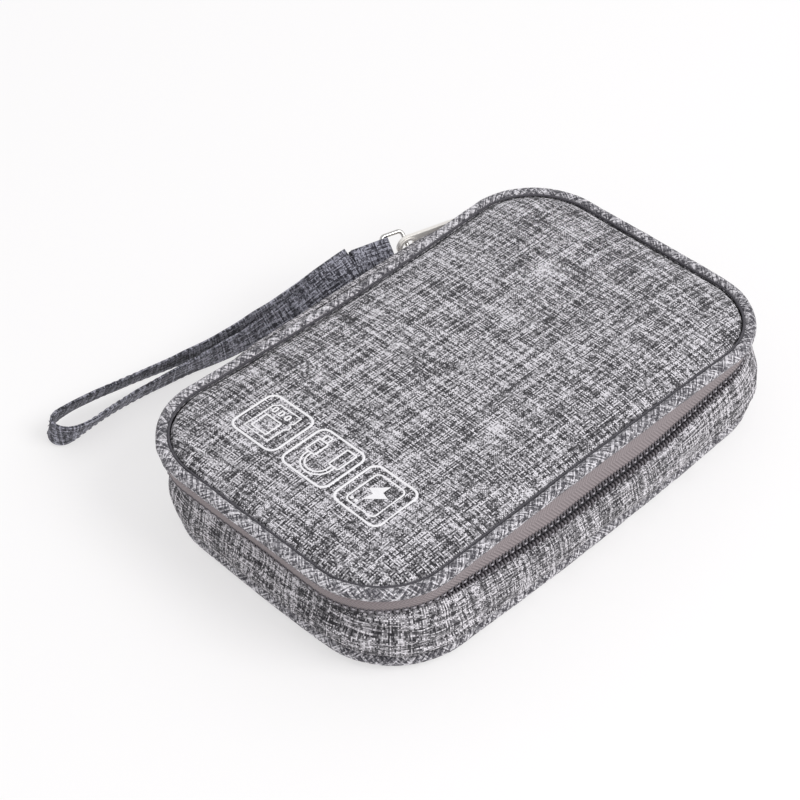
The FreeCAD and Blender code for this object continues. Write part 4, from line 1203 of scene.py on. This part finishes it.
for vert in ink.verts:
    hit = lid_skin.ray_cast(Vector((vert.co.x, vert.co.y, 100)) * MM, Vector((0, 0, -1)))[0]
    vert.co.z = hit.z / MM + INK_HIGH * vert.co.z / (ICON_LINE / 2)
piece("printed_pictograms", ink, white_ink, "lid", "print", "printed_icons")

# %% [markdown]
# ## Inside
# With the lid open the pouch shows its lining, a row of elastic loops on the floor and a net pocket
# on each panel.

# %% Floor and lid linings
HEM = 1.3
PUCKER = 0.16
TAFFETA = 0.35


def lining(name, node, body, facing, sits):
    """A lining sheet with slight puckers, sewn all round."""
    low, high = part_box(node)
    half_x = high.x / MM + HEM
    half_y = high.y / MM + HEM
    bm = rounded_sheet(half_x, half_y, CORNER - (HALF_X - half_x), 3.0)
    flat_uv(bm)
    for vert in bm.verts:
        vert.co.z = PUCKER * noise.noise(Vector((vert.co.x / 7, vert.co.y / 9, 0.3)))
    thick_sheet(bm, TAFFETA)
    middle = (low.z + high.z) / 2 / MM
    bmesh.ops.translate(bm, vec=(0, 0, middle + facing), verts=bm.verts)
    sheet = piece(name, settle(bm, sits), lining_weave, body, "lining", node)


lining("tray_floor_lining", "base_lining", "tray", 0.15, tray_sits)
lining("lid_inner_lining", "lid_lining", "lid", 0.1, lid_sits)

WALL_FOAM = 1.7
wall_low = FLOOR_TOP + 0.3
inner_line = flat_line([(-2.1, 22.4), (-2.4, 21.0), (-2.3, 16.0), (-2.4, 11.0), (-2.2, wall_low)], 4)
inner_places = rim_places(BAND_START + 0.6, BAND_STOP - 0.6, 1.8)
quilt = sweep(wall_section(inner_line, -WALL_FOAM), inner_places, sag(0.15, 8))
piece("tray_wall_inner_lining", settle(quilt, tray_sits), lining_weave, "tray", "lining", "tray_wall_lining")

# %% Elastic loops: one band that rises into five arches
loops_low, loops_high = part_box("elastic_loops")
LOOP_COUNT = 5
LOOP_INNER = 6.5
BAND_THICK = 1.1
pitch = (loops_high.y - loops_low.y) / MM / LOOP_COUNT
loop_line = []
for index in range(LOOP_COUNT):
    middle = loops_low.y / MM + pitch * (index + 0.5)
    outer = LOOP_INNER + BAND_THICK
    loop_line.append((middle - pitch / 2, BAND_THICK))
    for step in range(15):
        angle = math.pi * (0.94 - 0.88 * step / 14)
        loop_line.append((middle + outer * math.cos(angle), max(outer * math.sin(angle), BAND_THICK)))
loop_line.append((loops_high.y / MM, BAND_THICK))
across = Matrix(((0, 0, 1, 0), (1, 0, 0, 0), (0, 1, 0, loops_low.z / MM), (0, 0, 0, 1)))
half_band = loops_high.x / MM
band_steps = (-half_band, -half_band + 0.6, -half_band / 2, 0, half_band / 2, half_band - 0.6, half_band)
loop_places = [(step, across @ Matrix.Translation((0, 0, step))) for step in band_steps]


def loose_edge(point, along, around):
    """The band narrows a little at its two edges."""
    edge = max(abs(along) - (half_band - 0.3), 0)
    return point - Vector((0, 0, 0.25 * edge))


loop_band = sweep(wall_section(loop_line[::-1], BAND_THICK - 0.05), loop_places, loose_edge)
piece("elastic_loop_band", loop_band, elastic_weave, "tray", "elastic", "elastic_loops", sharp=50.0)
LOOP_STITCH = (1.3, 0.3, 0.35)
LOOP_STITCH_PITCH = 1.7
SEAM_FROM_END = 0.6
loop_seams = []
for index in range(LOOP_COUNT + 1):
    seam_y = loops_low.y / MM + pitch * index
    if index == 0:
        seam_y += SEAM_FROM_END
    elif index == LOOP_COUNT:
        seam_y -= SEAM_FROM_END
    for step in range(17):
        seam_x = -half_band + 1.4 + LOOP_STITCH_PITCH * step
        spot = Matrix.Translation((seam_x, seam_y, loops_low.z / MM + BAND_THICK + 0.05))
        loop_seams.append(spot @ Matrix.Rotation(math.pi / 2, 4, "Y"))
piece("elastic_loop_stitches", repeat(small_ball(*LOOP_STITCH), loop_seams), sewing_thread, "tray", "thread")

# %% [markdown]
# The net is a sheet of square cells turned by 45 degrees. Each cell is inset and its middle
# removed, which leaves a real net, and a thin extrusion gives the yarn its thickness. A folded
# elastic finishes the mouth of each pocket.

# %% Net pockets and their bindings
NET_CELL = 2.6
NET_YARN = 0.42
NET_THICK = 0.3
POCKET_END = 86.6


def net_pocket(name, node, body):
    """A flat net cut to the pocket's outline."""
    low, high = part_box(node)
    half_x = high.x / MM
    low_y, high_y = low.y / MM, high.y / MM
    full_y = max(abs(low_y), abs(high_y))
    bm = bmesh.new()
    size = math.hypot(half_x, full_y)
    cells = round(2 * size / NET_CELL)
    bmesh.ops.create_grid(bm, x_segments=cells, y_segments=cells, size=size)
    bmesh.ops.rotate(bm, matrix=Matrix.Rotation(math.pi / 4, 3, "Z"), verts=bm.verts)
    outside = []
    for face in bm.faces:
        middle = face.calc_center_median()
        inside = depth_inside(middle.x, middle.y, half_x, POCKET_END, CORNER - (HALF_X - half_x))
        if inside < 0.6 or not low_y < middle.y < high_y:
            outside.append(face)
    bmesh.ops.delete(bm, geom=outside, context="FACES")
    inner = bmesh.ops.inset_individual(bm, faces=bm.faces[:], thickness=NET_YARN / 2, use_even_offset=True)
    rims = set(inner["faces"])
    bmesh.ops.delete(bm, geom=[face for face in bm.faces if face not in rims], context="FACES")
    flat_uv(bm)
    thick_sheet(bm, NET_THICK)
    middle = (low.z + high.z) / 2 / MM
    bmesh.ops.translate(bm, vec=(0, 0, middle + NET_THICK / 2), verts=bm.verts)
    piece(name, bm, net_yarn, body, "mesh", node)
    print(name, "has", len(rims) // 4, "cells")


net_pocket("tray_net_pocket", "tray_mesh_pocket", "tray")
net_pocket("lid_net_pocket", "lid_mesh_pocket", "lid")


def pocket_binding(name, node, body):
    """A folded elastic on a pocket's mouth, gathered a little."""
    low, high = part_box(node)
    half = high.x / MM
    y0, y1 = low.y / MM, high.y / MM
    z0, z1 = low.z / MM, high.z / MM
    middle = (z0 + z1) / 2
    fold = flat_line([(y0, middle), (y0, z0), (y0 + 1, z0), (y1 - 1, z0), (y1, z0), (y1, middle), (y1, z1),
                      (y1 - 1, z1), (y0 + 1, z1), (y0, z1), (y0, middle)], 3)
    run = Matrix(((0, 0, 1, 0), (1, 0, 0, 0), (0, 1, 0, 0), (0, 0, 0, 1)))
    steps = [-half + half * index / 30 for index in range(61)]
    spots = [(step, run @ Matrix.Translation((0, 0, step))) for step in steps]

    def gathered(point, along, around):
        return point + Vector((0, 0.25 * noise.noise(Vector((along / 5, 0, 1))), 0))

    piece(name, sweep(fold, spots, gathered), binding_weave, body, "elastic", node)


pocket_binding("tray_pocket_elastic", "tray_pocket_binding", "tray")
pocket_binding("lid_pocket_elastic", "lid_pocket_binding", "lid")

# %% [markdown]
# ## Floor and light
# A plain pale floor and a bright, even studio: a white surround fills the shadows and one large
# soft lamp from the right gives the folds their shape. The floor glows a little, so that the shadow
# on it stays faint.

# %% Studio
FLOOR_HALF = 4000
FLOOR_GLOW = 0.6
SURROUND = 0.78
floor_mesh = bmesh.new()
bmesh.ops.create_grid(floor_mesh, x_segments=1, y_segments=1, size=FLOOR_HALF)
floor_paint = new_material("pale_studio_floor", Roughness=0.7, Base_Color=colour("#a3a2a2"),
                           Emission_Color=colour("#fbfafa"), Emission_Strength=FLOOR_GLOW)[0]
as_object("floor", floor_mesh, floor_paint)

world = bpy.data.worlds.new("studio")
bpy.context.scene.world = world
world.use_nodes = True
background = world.node_tree.nodes["Background"]
background.inputs[0].default_value = colour("#fbfbfd")
background.inputs[1].default_value = SURROUND


def soft_lamp(name, place, power, size):
    """A large square lamp that looks at the pouch."""
    lamp = bpy.data.lights.new(name, "AREA")
    lamp.energy = power
    lamp.size = size
    holder = bpy.data.objects.new(name, lamp)
    holder.location = place
    holder.rotation_euler = (-Vector(place)).to_track_quat("-Z", "Y").to_euler()
    bpy.context.scene.collection.objects.link(holder)


soft_lamp("key", (1.0, 0.3, 1.1), 13.0, 0.8)
bpy.context.scene.view_settings.view_transform = "Standard"
print("floor, surround and", len(bpy.data.lights), "lamp")
